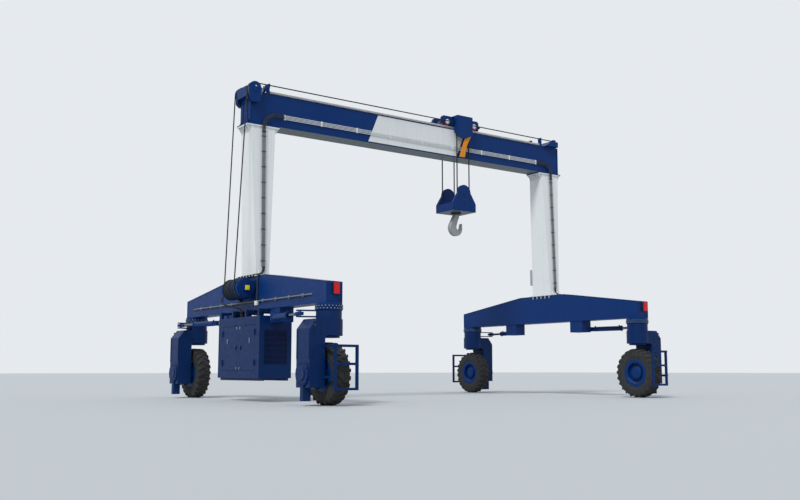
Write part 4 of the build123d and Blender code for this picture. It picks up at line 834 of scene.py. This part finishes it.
# Signal yellow enamel on a smooth casting, greyer where grease has run
yellow_enamel = sprayed_enamel("yellow_enamel", "#ecdc1a", "#ead944", "#8a7a1c", 0.4, streaks=0.2)
cap = block((DRUM_X - 0.102, -0.7505, DRUM_Z - 0.102), (DRUM_X + 0.102, -0.646, DRUM_Z + 0.102))
raised_face(cap, (0, -1, 0), (0.02, -0.0015))
finish_piece(rounded(cap, 0.012, segments=3), "motor_cap_frame", navy_enamel, "gantry")
cover = block((DRUM_X - 0.078, -0.758, DRUM_Z - 0.078), (DRUM_X + 0.078, -0.746, DRUM_Z + 0.078))
raised_face(cover, (0, -1, 0), (0.014, -0.003))
finish_piece(rounded(cover, 0.004), "motor_cap", yellow_enamel, "gantry")
spots = bolt_circle(12, 0.255, (DRUM_X, -0.6445, DRUM_Z), (0, -1, 0), 0.5)
for way in (-1, 1):
    spots += bolt_row(4, (-7.2405, way * 0.55, 3.38), (0, 0, 0.2), (-1, 0, 0), 0.5)
finish_piece(repeated(bolt, spots), "winch_bolts", navy_enamel, "gantry", smooth=30)

# Legs: tapered boxes of plate in white enamel that shows rain streaks, bolted at the foot to
# the carriage beam and at the head to the girder's seat.
dress(white_enamel, "leg_left", "leg_right")
FOOT_FLANGE = 4.2495
HEAD_FLANGE = 9.5005
STUDS = 5
STUD_PITCH = 0.245
# Hot-dip galvanised steel: pale grey with the soft spangle of the zinc bath
galvanised, zinc_tree = blank_material("galvanised_steel")
zinc_place = add_node(zinc_tree, "ShaderNodeTexCoord")
spangle = add_node(zinc_tree, "ShaderNodeTexVoronoi", {"Vector": (zinc_place, "Object")},
                   {"Scale": 70.0})
zinc_tone = add_node(zinc_tree, "ShaderNodeMapRange", {"Value": (spangle, "Distance")},
                     {"From Max": 0.8, "To Min": 0.2, "To Max": 0.8})
zinc_colour = add_node(zinc_tree, "ShaderNodeMix", {"Factor": (zinc_tone, "Result")},
                       {"A": linear("#a9adb0"), "B": linear("#c8cbcc")}, data_type="RGBA")
zinc_rough = add_node(zinc_tree, "ShaderNodeMapRange", {"Value": (spangle, "Distance")},
                      {"From Max": 0.8, "To Min": 0.38, "To Max": 0.55})
zinc_shader = add_node(zinc_tree, "ShaderNodeBsdfPrincipled",
                       {"Base Color": (zinc_colour, "Result"), "Roughness": (zinc_rough, "Result")},
                       {"Metallic": 0.85})
add_node(zinc_tree, "ShaderNodeOutputMaterial", {"Surface": (zinc_shader, "BSDF")})
UP = (0, 0, 1)
DOWN = (0, 0, -1)
for side_name, side in SIDES:
    x0 = side * WHEEL_X
    spots = []
    for way in (-1, 1):
        spots += bolt_row(4, (x0 + way * 0.29, -0.345, FOOT_FLANGE), (0, 0.23, 0), UP, 0.7)
        spots += bolt_row(6, (x0 - 0.5, way * 0.385, HEAD_FLANGE), (0.2, 0, 0), DOWN, 0.55)
        spots += bolt_row(4, (x0 - 0.21, way * 0.6, FOOT_FLANGE), (0.14, 0, 0), UP, 0.55)
        spots += bolt_row(4, (x0 + way * 0.6, -0.27, HEAD_FLANGE), (0, 0.18, 0), DOWN, 0.7)
    # Long studs through the beam's top plate show below its lip on the inner side
    stud_x = x0 - side * 0.296
    spots += bolt_row(STUDS, (stud_x, -2 * STUD_PITCH, 4.1), (0, STUD_PITCH, 0), DOWN, 0.55)
    finish_piece(repeated(bolt, spots), "leg_bolts_" + side_name, galvanised, "gantry",
                 smooth=30)
    studs = []
    for step in range(STUDS):
        y = (step - 2) * STUD_PITCH
        studs.append(rounded(cylinder(0.013, 0.14, (stud_x, y, 4.15), vertices=10), 0.003))
        studs.append(plate((x0 - side * 0.27, y - 0.02, 4.155),
                           (x0 - side * 0.31, y + 0.02, 4.17), 0.003))
    finish_piece(joined(studs), "foot_studs_" + side_name, white_enamel, "gantry")

# Cabinet on the back of the right leg: folded sheet box in light grey enamel, with a lipped
# door, two hinges, a swing handle and louvres.
dress(pale_enamel, "leg_cabinet")
cabinet_low, cabinet_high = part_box("leg_cabinet")
front = cabinet_high.y
leaf = block((cabinet_low.x + 0.02, front, cabinet_low.z + 0.02),
             (cabinet_high.x - 0.02, front + 0.006, cabinet_high.z - 0.02))
fittings = [rounded(raised_face(leaf, (0, 1, 0), (0.012, 0.002)), 0.002)]
for step in range(5):
    z = cabinet_low.z + 0.1 + 0.022 * step
    fittings.append(plate((cabinet_low.x + 0.11, front + 0.006, z),
                          (cabinet_high.x - 0.11, front + 0.013, z + 0.009), 0.002))
for z in (cabinet_low.z + 0.12, cabinet_high.z - 0.12):
    hinge = cylinder(0.008, 0.07, (cabinet_low.x + 0.012, front + 0.008, z), vertices=12)
    fittings.append(rounded(hinge, 0.002))
finish_piece(joined(fittings), "cabinet_door", pale_enamel, "gantry")
mid_height = (cabinet_low.z + cabinet_high.z) / 2
grip = plate((cabinet_high.x - 0.075, front + 0.006, mid_height - 0.06),
             (cabinet_high.x - 0.05, front + 0.022, mid_height + 0.06), 0.006)
finish_piece(grip, "cabinet_handle", black_abs, "gantry")

# Main girder: box of navy plate with rolled flanges, and two flat-bottomed crane rails on top,
# held down by bolted clips every 0.6 m. Its downward faces turn grey: painted bounce light.
GIRDER_TOP = 10.75
RAIL_Y = 0.29
girder_enamel = sprayed_enamel("navy_with_painted_bounce_light", "#06306c", "#10396f", "#061f4a", 0.4,
                               streaks=0.35, dust=0.3, painted_bounce_light="#5f696d")
dress(girder_enamel, "main_girder")
dress(navy_enamel, "sheave_bracket", "rope_anchor", "rail_stops")
# Rail steel, worn pale by the wheels, with duller patches
rail_steel = two_tones("worn_rail_steel", {"Scale": 14.0, "Detail": 6.0, "Roughness": 0.7},
                       ("#cfd0ce", "#b5b3ab"), {"Metallic": 0.15},
                       share={"From Min": 0.4, "From Max": 0.65},
                       gloss={"To Min": 0.3, "To Max": 0.75})
dress(rail_steel, "trolley_rails")
foot = raised_face(block((-0.045, -0.03, 0), (0.045, 0.03, 0.014)), (0, 0, 1), (0.008, 0.006))
clip = joined([foot, cylinder(0.018, 0.014, (0, 0.006, 0.027), vertices=6)])
spots = []
for step in range(23):
    for rail in (-1, 1):
        for way in (-1, 1):
            place = (-6.55 + 0.585 * step, rail * RAIL_Y + way * 0.085, GIRDER_TOP)
            spots.append(Matrix.Translation(place) @ Matrix.Rotation(pi * (way < 0), 4, "Z"))
finish_piece(repeated(clip, spots), "rail_clips", galvanised, "gantry", smooth=30)
bpy.data.objects.remove(clip)
spots = []
for side in (-1, 1):
    for way in (-1, 1):
        spots += bolt_row(6, (side * 7.4645, way * 0.31, 9.7), (0, 0, 0.18), (side, 0, 0), 0.55)
finish_piece(repeated(bolt, spots), "girder_end_bolts", navy_enamel, "gantry",
             smooth=30)

# Sign: a blank board of coil-coated sheet, white and smooth, folded at its edges, on
# hidden brackets along the girder's front web.
sign_white = sprayed_enamel("white_coil_coating", "#e3e6e7", "#dadedf", "#a9a79f", 0.3,
                            streaks=0.18)
dress(sign_white, "sign_panel")

# Cable tray: four aluminium tubes in bolted clamps along the girder's front web, dull and
# pale under white enamel.
TRAY_FACE = -0.3745
TRAY_Z = 9.96
TRAY_END = 6.15
tray = []
for row in range(4):
    z = TRAY_Z + (row - 1.5) * 0.044
    tray.append(tube_run([(x, TRAY_FACE - 0.026, z) for x in (-TRAY_END, -3, 3, TRAY_END)], 0.0105))
for step in range(9):
    x = (step / 4 - 1) * 6.12
    clamp = block((x - 0.03, TRAY_FACE - 0.03, 9.865), (x + 0.03, TRAY_FACE, 10.055))
    tray.append(rounded(raised_face(clamp, (0, -1, 0), (0.012, 0.012)), 0.004))
tray = finish_piece(joined(tray), "cable_tray_tubes", white_enamel, "gantry",
                    smooth=40)
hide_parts("cable_tray")

# Cables down the legs: four round cables in each bundle, combed flat and held by moulded
# clamps; the bends at the top are sleeved in black rubber.
CABLE_PITCH = 0.036
BEND_Y = -0.4455
FOOT_Y = -0.5806
FOOT_Z = 4.54
# Cable sheath: its mid grey is partly painted sheen; chalky dust lies on it in patches a hand wide
sheath_grey_with_painted_sheen = two_tones("cable_sheath_with_painted_sheen", {"Scale": 9.0, "Detail": 5.0},
                        ("#565c60", "#868c90"), {"Roughness": 0.5, "IOR": 1.52},
                        relief=(0.1, 0.003))
for side_name, side in SIDES:
    x0 = side * WHEEL_X
    upper = []
    lower = []
    for row in range(4):
        off = (row - 1.5) * CABLE_PITCH
        x = x0 + side * off
        bend = [(side * TRAY_END, BEND_Y, TRAY_Z + off), (side * 6.3, BEND_Y, TRAY_Z + off)]
        for step in range(8):
            angle = pi / 2 * step / 7
            bend.append((side * (6.5 + (0.45 + off) * sin(angle)), BEND_Y,
                         TRAY_Z - 0.45 + (0.45 + off) * cos(angle)))
        upper.append(tube_run(bend + [(x, BEND_Y, 9.4), (x, BEND_Y, 9.28)], 0.0135))
        lower.append(tube_run([(x, BEND_Y, 9.28), (x, -0.448, 9.2), (x, -0.51, 7.0),
                               (x, -0.578, 4.7), (x, FOOT_Y, FOOT_Z)], 0.0155))
    bends = finish_piece(joined(upper), "leg_cable_bends_" + side_name, black_rubber, "gantry",
                         smooth=50)
    cables = finish_piece(joined(lower), "leg_cables_" + side_name, sheath_grey_with_painted_sheen, "gantry",
                          smooth=50)
    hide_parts("cable_bundle_" + side_name)
    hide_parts("cable_bundle_" + side_name)
    clamps = []
    for step in range(9):
        z = 4.75 + 0.55 * step
        y = FOOT_Y + (BEND_Y - FOOT_Y) * (z - FOOT_Z) / (9.26 - FOOT_Z)
        clamps.append(plate((x0 - 0.082, y - 0.028, z - 0.012), (x0 + 0.082, y + 0.033, z + 0.012),
                            0.005))
    clamps.append(plate((x0 - 0.08, -0.475, 9.3), (x0 + 0.08, -0.4155, 9.33), 0.005))
    finish_piece(joined(clamps), "leg_cable_clamps_" + side_name, black_abs, "gantry")

# Cable tails at the feet: on the left two run along the beam's edge to the winch, held by
# white saddles, and one goes into the conduit; on the right three turn over the beam's top
# edge and go in through glands.
TAIL_R = 0.0165
CABLE_END = (FOOT_Y, 4.56)
tails = []
saddles = []
for row in (0, 1):
    x = -WHEEL_X + (row - 0.5) * CABLE_PITCH
    drop = 0.034 * row
    tails.append(tube_run([(x, *CABLE_END), (x, -0.585, 4.44), (x - 0.05, -0.6, 4.33 + drop),
                           (-7.12, -0.6, 4.29 - drop / 2), (-7.25, -0.6, 4.275 - drop),
                           (-7.29, -0.52, 4.262 - drop), (-7.29, -0.2, 4.262 - drop),
                           (-7.29, 0.6, 4.262 - drop), (-7.29, 0.95, 4.2 - drop),
                           (-7.29, 1.1, 4.05), (-7.28, 1.12 + drop, 3.84),
                           (-7.22, 1.12 + drop, 3.8)], TAIL_R))
for step in range(6):
    y = -0.46 + 0.22 * step
    saddles.append(plate((-7.308, y - 0.02, 4.205), (-7.25, y + 0.02, 4.285), 0.005))
tails.append(tube_run([(-WHEEL_X + 0.054, *CABLE_END), (-WHEEL_X + 0.05, -0.59, 4.42),
                       (-7.0, -0.63, 4.31), (-7.12, -0.66, 4.28), (-7.22, -0.74, 4.265),
                       (-7.255, CONDUIT_Y, 4.25), (-7.255, CONDUIT_Y, 4.15)], TAIL_R))
for row in range(3):
    x = WHEEL_X + (row - 1.5) * CABLE_PITCH
    y = -0.6 + CABLE_PITCH * row
    tails.append(tube_run([(x, *CABLE_END), (x, -0.59, 4.42), (x + 0.06, y, 4.31),
                           (7.15, y, 4.275), (7.27, y, 4.27), (7.292, y, 4.2), (7.292, y, 4.12),
                           (7.27, y, 4.05), (7.22, y, 4.04)], TAIL_R))
saddles.append(plate((7.235, -0.63, 4.15), (7.31, -0.5, 4.18), 0.005))
finish_piece(joined(tails), "cable_tails", black_rubber, "gantry", smooth=50)
finish_piece(joined(saddles), "cable_saddles", white_enamel, "gantry")

# Rope guide sheaves at the girder's left end: cast steel, worn bright in the groove and
# greased on the flanges, on pins with a galvanised grease plug above each.

# Cast steel keeps the coarse grain of the mould and shines dully through its grease
sheave_steel = two_tones("cast_sheave_steel", {"Scale": 40.0, "Detail": 6.0},
                         ("#4a4f54", "#80868a"), {"Metallic": 0.8, "Roughness": 0.42},
                         relief=(0.25, 0.003))
dress(sheave_steel, "end_sheaves")
plugs = [rounded(cylinder(0.032, 0.03, (-7.36, way * 0.583, 10.86), vertices=20,
                          rotation=ALONG_Y), 0.006) for way in (-1, 1)]
finish_piece(joined(plugs), "grease_plugs", galvanised, "gantry", smooth=30)

# Rope rollers: a small white nylon roller, turned with a waist, keeps each rope off the
# girder, in a bracket of bent plate that is welded to the girder's top.
ROLLER_X = -6.96
ROLLER_Z = 10.93
# Nylon: milky white, greyed by fine scuffs
nylon = two_tones("white_nylon", {"Scale": 50.0, "Detail": 4.0}, ("#cfcfc8", "#e9e9e4"),
                  {"Roughness": 0.5, "IOR": 1.53, "Subsurface Weight": 0.05})
rollers = []
brackets = []
for way in (-1, 1):
    y = way * ROPE_Y
    roller = cylinder(0.04, 0.14, (ROLLER_X, y, ROLLER_Z), vertices=32, rotation=ALONG_Y)
    place_in_mesh()
    bpy.ops.object.mode_set(mode="EDIT")
    cut_through([(0, y - 0.02, 0), (0, y + 0.02, 0)], (0, 1, 0))
    bpy.ops.object.mode_set(mode="OBJECT")
    for vertex in roller.data.vertices:
        if abs(vertex.co.y - y) < 0.03:
            vertex.co.x = ROLLER_X + (vertex.co.x - ROLLER_X) * 0.8
            vertex.co.z = ROLLER_Z + (vertex.co.z - ROLLER_Z) * 0.8
    rollers.append(rounded(roller, 0.004))
    for edge in (-1, 1):
        cheek_y = y + edge * 0.078
        brackets.append(plate((-7.0, cheek_y - 0.005, GIRDER_TOP), (-6.92, cheek_y + 0.005, 10.965),
                              0.003))
    brackets.append(plate((-7.0, way * 0.3, GIRDER_TOP), (-6.92, y + way * 0.083, 10.765), 0.003))
finish_piece(joined(rollers), "rope_rollers", nylon, "gantry")
finish_piece(joined(brackets), "rope_roller_brackets", navy_enamel, "gantry")

# Trolley: two truck frames on the rails with forged wheels, hub plates and red buffers,
# sheave housings bolted on both sides, and an orange arm of folded plate.
RAIL_TOP = 10.845
TRUCK_AXLE_Z = RAIL_TOP + 0.1653
TRUCK_END = 0.95
BUFFER_Z = GIRDER_TOP + 0.28
dress(navy_enamel, "trolley_frame", "trolley_housing")
# Red oxide and orange enamels, both chalked by the sun and streaked with brown
red_oxide = sprayed_enamel("red_oxide_enamel", "#a8433a", "#b86052", "#5c2a24", 0.5, streaks=0.3)
dress(red_oxide, "trolley_wheels_left", "trolley_wheels_right")
orange_enamel = sprayed_enamel("orange_enamel", "#e08a1e", "#e39a3c", "#7a4a1c", 0.4,
                               streaks=0.35)
dress(orange_enamel, "trolley_arm")
# Cast polyurethane: dark red, chalky in small patches
red_rubber = two_tones("red_polyurethane", {"Scale": 35.0, "Detail": 4.0},
                       ("#8c1f24", "#b33a3a"), {"Roughness": 0.55, "IOR": 1.5})
hubs = []
buffers = []
sweeps = []
for way in (-1, 1):
    for rail in (-1, 1):
        x = TROLLEY_X + way * 0.7
        face = rail * (RAIL_Y + 0.077)
        hub = cylinder(0.094, 0.02, (x, face + rail * 0.01, TRUCK_AXLE_Z), vertices=40,
                       rotation=ALONG_Y)
        raised_face(hub, (0, rail, 0), (0.03, 0.01), (0.02, -0.008))
        hubs.append(rounded(hub, 0.003))
        # Red guard over the lower half of the wheel, a pressed disc cut off at a slant
        guard = cylinder(0.135, 0.012, (x, face - rail * 0.006, TRUCK_AXLE_Z), vertices=40,
                         rotation=ALONG_Y)
        place_in_mesh()
        bpy.ops.object.mode_set(mode="EDIT")
        bpy.ops.mesh.select_all(action="SELECT")
        bpy.ops.mesh.bisect(plane_co=(x, 0, TRUCK_AXLE_Z - 0.01), plane_no=(-0.45, 0, 1),
                            clear_outer=True, use_fill=True)
        bpy.ops.object.mode_set(mode="OBJECT")
        sweeps.append(rounded(guard, 0.003))
        # Domed pad vulcanised on the buffer's plate
        edge = TROLLEY_X + way * TRUCK_END
        pad = cylinder(0.061, 0.044, (edge + way * 0.067, rail * RAIL_Y, BUFFER_Z), vertices=32,
                       rotation=ALONG_X)
        buffers.append(rounded(pad, 0.008, segments=3))
        # Sweep plate in front of each wheel, hung over the rail head
        sweeps.append(plate((edge, rail * RAIL_Y - 0.06, RAIL_TOP + 0.012),
                            (edge - way * 0.012, rail * RAIL_Y + 0.06, RAIL_TOP + 0.095), 0.003))
finish_piece(joined(hubs), "trolley_hub_discs", white_enamel, "trolley")
finish_piece(joined(buffers), "trolley_buffer_pads", red_rubber, "trolley")
finish_piece(joined(sweeps), "trolley_sweeps", red_rubber, "trolley")
spots = []
for side in (-1, 1):
    for column in (-0.34, 0.34):
        spots += bolt_row(3, (TROLLEY_X + column, side * 0.6445, 10.65), (0, 0, 0.25),
                          (0, side, 0), 0.5)
finish_piece(repeated(bolt, spots), "trolley_bolts", navy_enamel, "trolley",
             smooth=30)

# Travel motor of the trolley: cast case with cooling fins and a gearbox, in grey machinery
# enamel, bolted between the truck frames.
MOTOR_X = TROLLEY_X - 0.7
MOTOR_Z = TRUCK_AXLE_Z + 0.03
motor = cylinder(0.085, 0.26, (MOTOR_X, 0.02, MOTOR_Z), vertices=32, rotation=ALONG_Y)
fins = [rounded(motor, 0.01)]
for step in range(7):
    fin = cylinder(0.1, 0.008, (MOTOR_X, -0.07 + 0.03 * step, MOTOR_Z), vertices=32,
                   rotation=ALONG_Y)
    fins.append(rounded(fin, 0.002))
fins.append(plate((MOTOR_X - 0.1, -0.2, MOTOR_Z - 0.09), (MOTOR_X + 0.1, -0.1, MOTOR_Z + 0.1),
                  0.015))
fins.append(plate((MOTOR_X - 0.06, -0.222, MOTOR_Z - 0.06), (MOTOR_X + 0.06, 0.222, MOTOR_Z + 0.06),
                  0.01))
finish_piece(joined(fins), "trolley_motor", engine_enamel, "trolley")

# Hook block: navy cheeks over two rows of sheaves, bolted together along their lower edge.
# Rings of black rubber seal the covers of its pins.
# The block's downward faces take the same painted bounce light as the girder's.
dress(girder_enamel, "hook_block")
spots = []
seals = []
for way in (-1, 1):
    for column in (-0.5, -0.3, 0.3, 0.5):
        spots.append(aim((TROLLEY_X + column, way * 0.5595, 7.44), (0, way, 0), 0.45))
    for z, radius in ((8.13, 0.128), (7.771, 0.095)):
        seals.append(round_ring(radius, 0.009, (TROLLEY_X, way * 0.563, z), 40))
finish_piece(repeated(bolt, spots), "hook_block_bolts", navy_enamel, "hook_block",
             smooth=30)
finish_piece(joined(seals), "pin_seals", black_rubber, "hook_block", smooth=60)

# Hook: drop-forged steel, left grey and scuffed, on a swivel under the block. A black rubber
# collar and a ring nut close the swivel.
BLOCK_BOTTOM = 7.375
# Forging scale: dull grey steel in broad darker and lighter marks, scuffed where slings run
forged = two_tones("forged_steel_scale", {"Scale": 12.0, "Detail": 8.0, "Roughness": 0.65},
                   ("#7d8183", "#b0b2b2"), {"Metallic": 0.4, "Roughness": 0.5},
                   relief=(0.35, 0.008))
dress(forged, "hook")
collar = cylinder(0.207, 0.04, (TROLLEY_X, 0, BLOCK_BOTTOM - 0.022), vertices=48)
nut = cylinder(0.212, 0.018, (TROLLEY_X, 0, BLOCK_BOTTOM - 0.058), vertices=12)
finish_piece(joined([rounded(collar, 0.01), rounded(nut, 0.004)]), "swivel_collar", black_rubber,
             "hook_block")
bpy.data.objects.remove(bolt)

# Studio: pale floor and backdrop colour, a broad soft key from the front left, and the
# camera at the photograph's angle.
floor_finish, floor_tree = blank_material("pale_floor")
floor_shader = add_node(floor_tree, "ShaderNodeBsdfPrincipled", None,
                        {"Base Color": linear("#c3c8cc"), "Roughness": 0.85,
                         "Specular IOR Level": 0.2})
add_node(floor_tree, "ShaderNodeOutputMaterial", {"Surface": (floor_shader, "BSDF")})
nothing_selected()
bpy.ops.mesh.primitive_plane_add(size=600, location=(0, 0, -0.002))
floor = bpy.context.object
floor.name = "floor"
floor.data.materials.append(floor_finish)

world = bpy.data.worlds.new("studio")
bpy.context.scene.world = world
world.use_nodes = True
sky = world.node_tree
sky.nodes.clear()
seen = add_node(sky, "ShaderNodeLightPath")
seen_or_glossy = add_node(sky, "ShaderNodeMath",
                          {0: (seen, "Is Camera Ray"), 1: (seen, "Is Glossy Ray")},
                          operation="MAXIMUM")
seen_at_all = add_node(sky, "ShaderNodeMath",
                       {0: (seen_or_glossy, "Value"), 1: (seen, "Is Transmission Ray")},
                       operation="MAXIMUM")
light_on_things = add_node(sky, "ShaderNodeBackground", None,
                           {"Color": linear("#eef2f7"), "Strength": 0.62})
backdrop_colour = add_node(sky, "ShaderNodeBackground", None,
                           {"Color": linear("#e6eaee"), "Strength": 1.0})
either = add_node(sky, "ShaderNodeMixShader",
                  {"Fac": (seen_at_all, "Value"), 1: (light_on_things, "Background"),
                   2: (backdrop_colour, "Background")})
add_node(sky, "ShaderNodeOutputWorld", {"Surface": (either, "Shader")})

key = bpy.data.lights.new("key", "SUN")
key.energy = 1.9
key.angle = radians(16)
key_object = bpy.data.objects.new("key", key)
bpy.context.collection.objects.link(key_object)
key_object.rotation_euler = Vector((-0.75, -0.42, 0.95)).to_track_quat("Z", "Y").to_euler()

view = bpy.data.cameras.new("camera")
view.lens = 41.35
view.sensor_width = 36
view.clip_end = 900
camera = bpy.data.objects.new("camera", view)
bpy.context.collection.objects.link(camera)
camera.location = (-21.207, -28.737, 1.037)
camera.rotation_euler = (radians(97.456), 0, radians(-35.376))
bpy.context.scene.camera = camera
bpy.context.scene.view_settings.view_transform = "Standard"
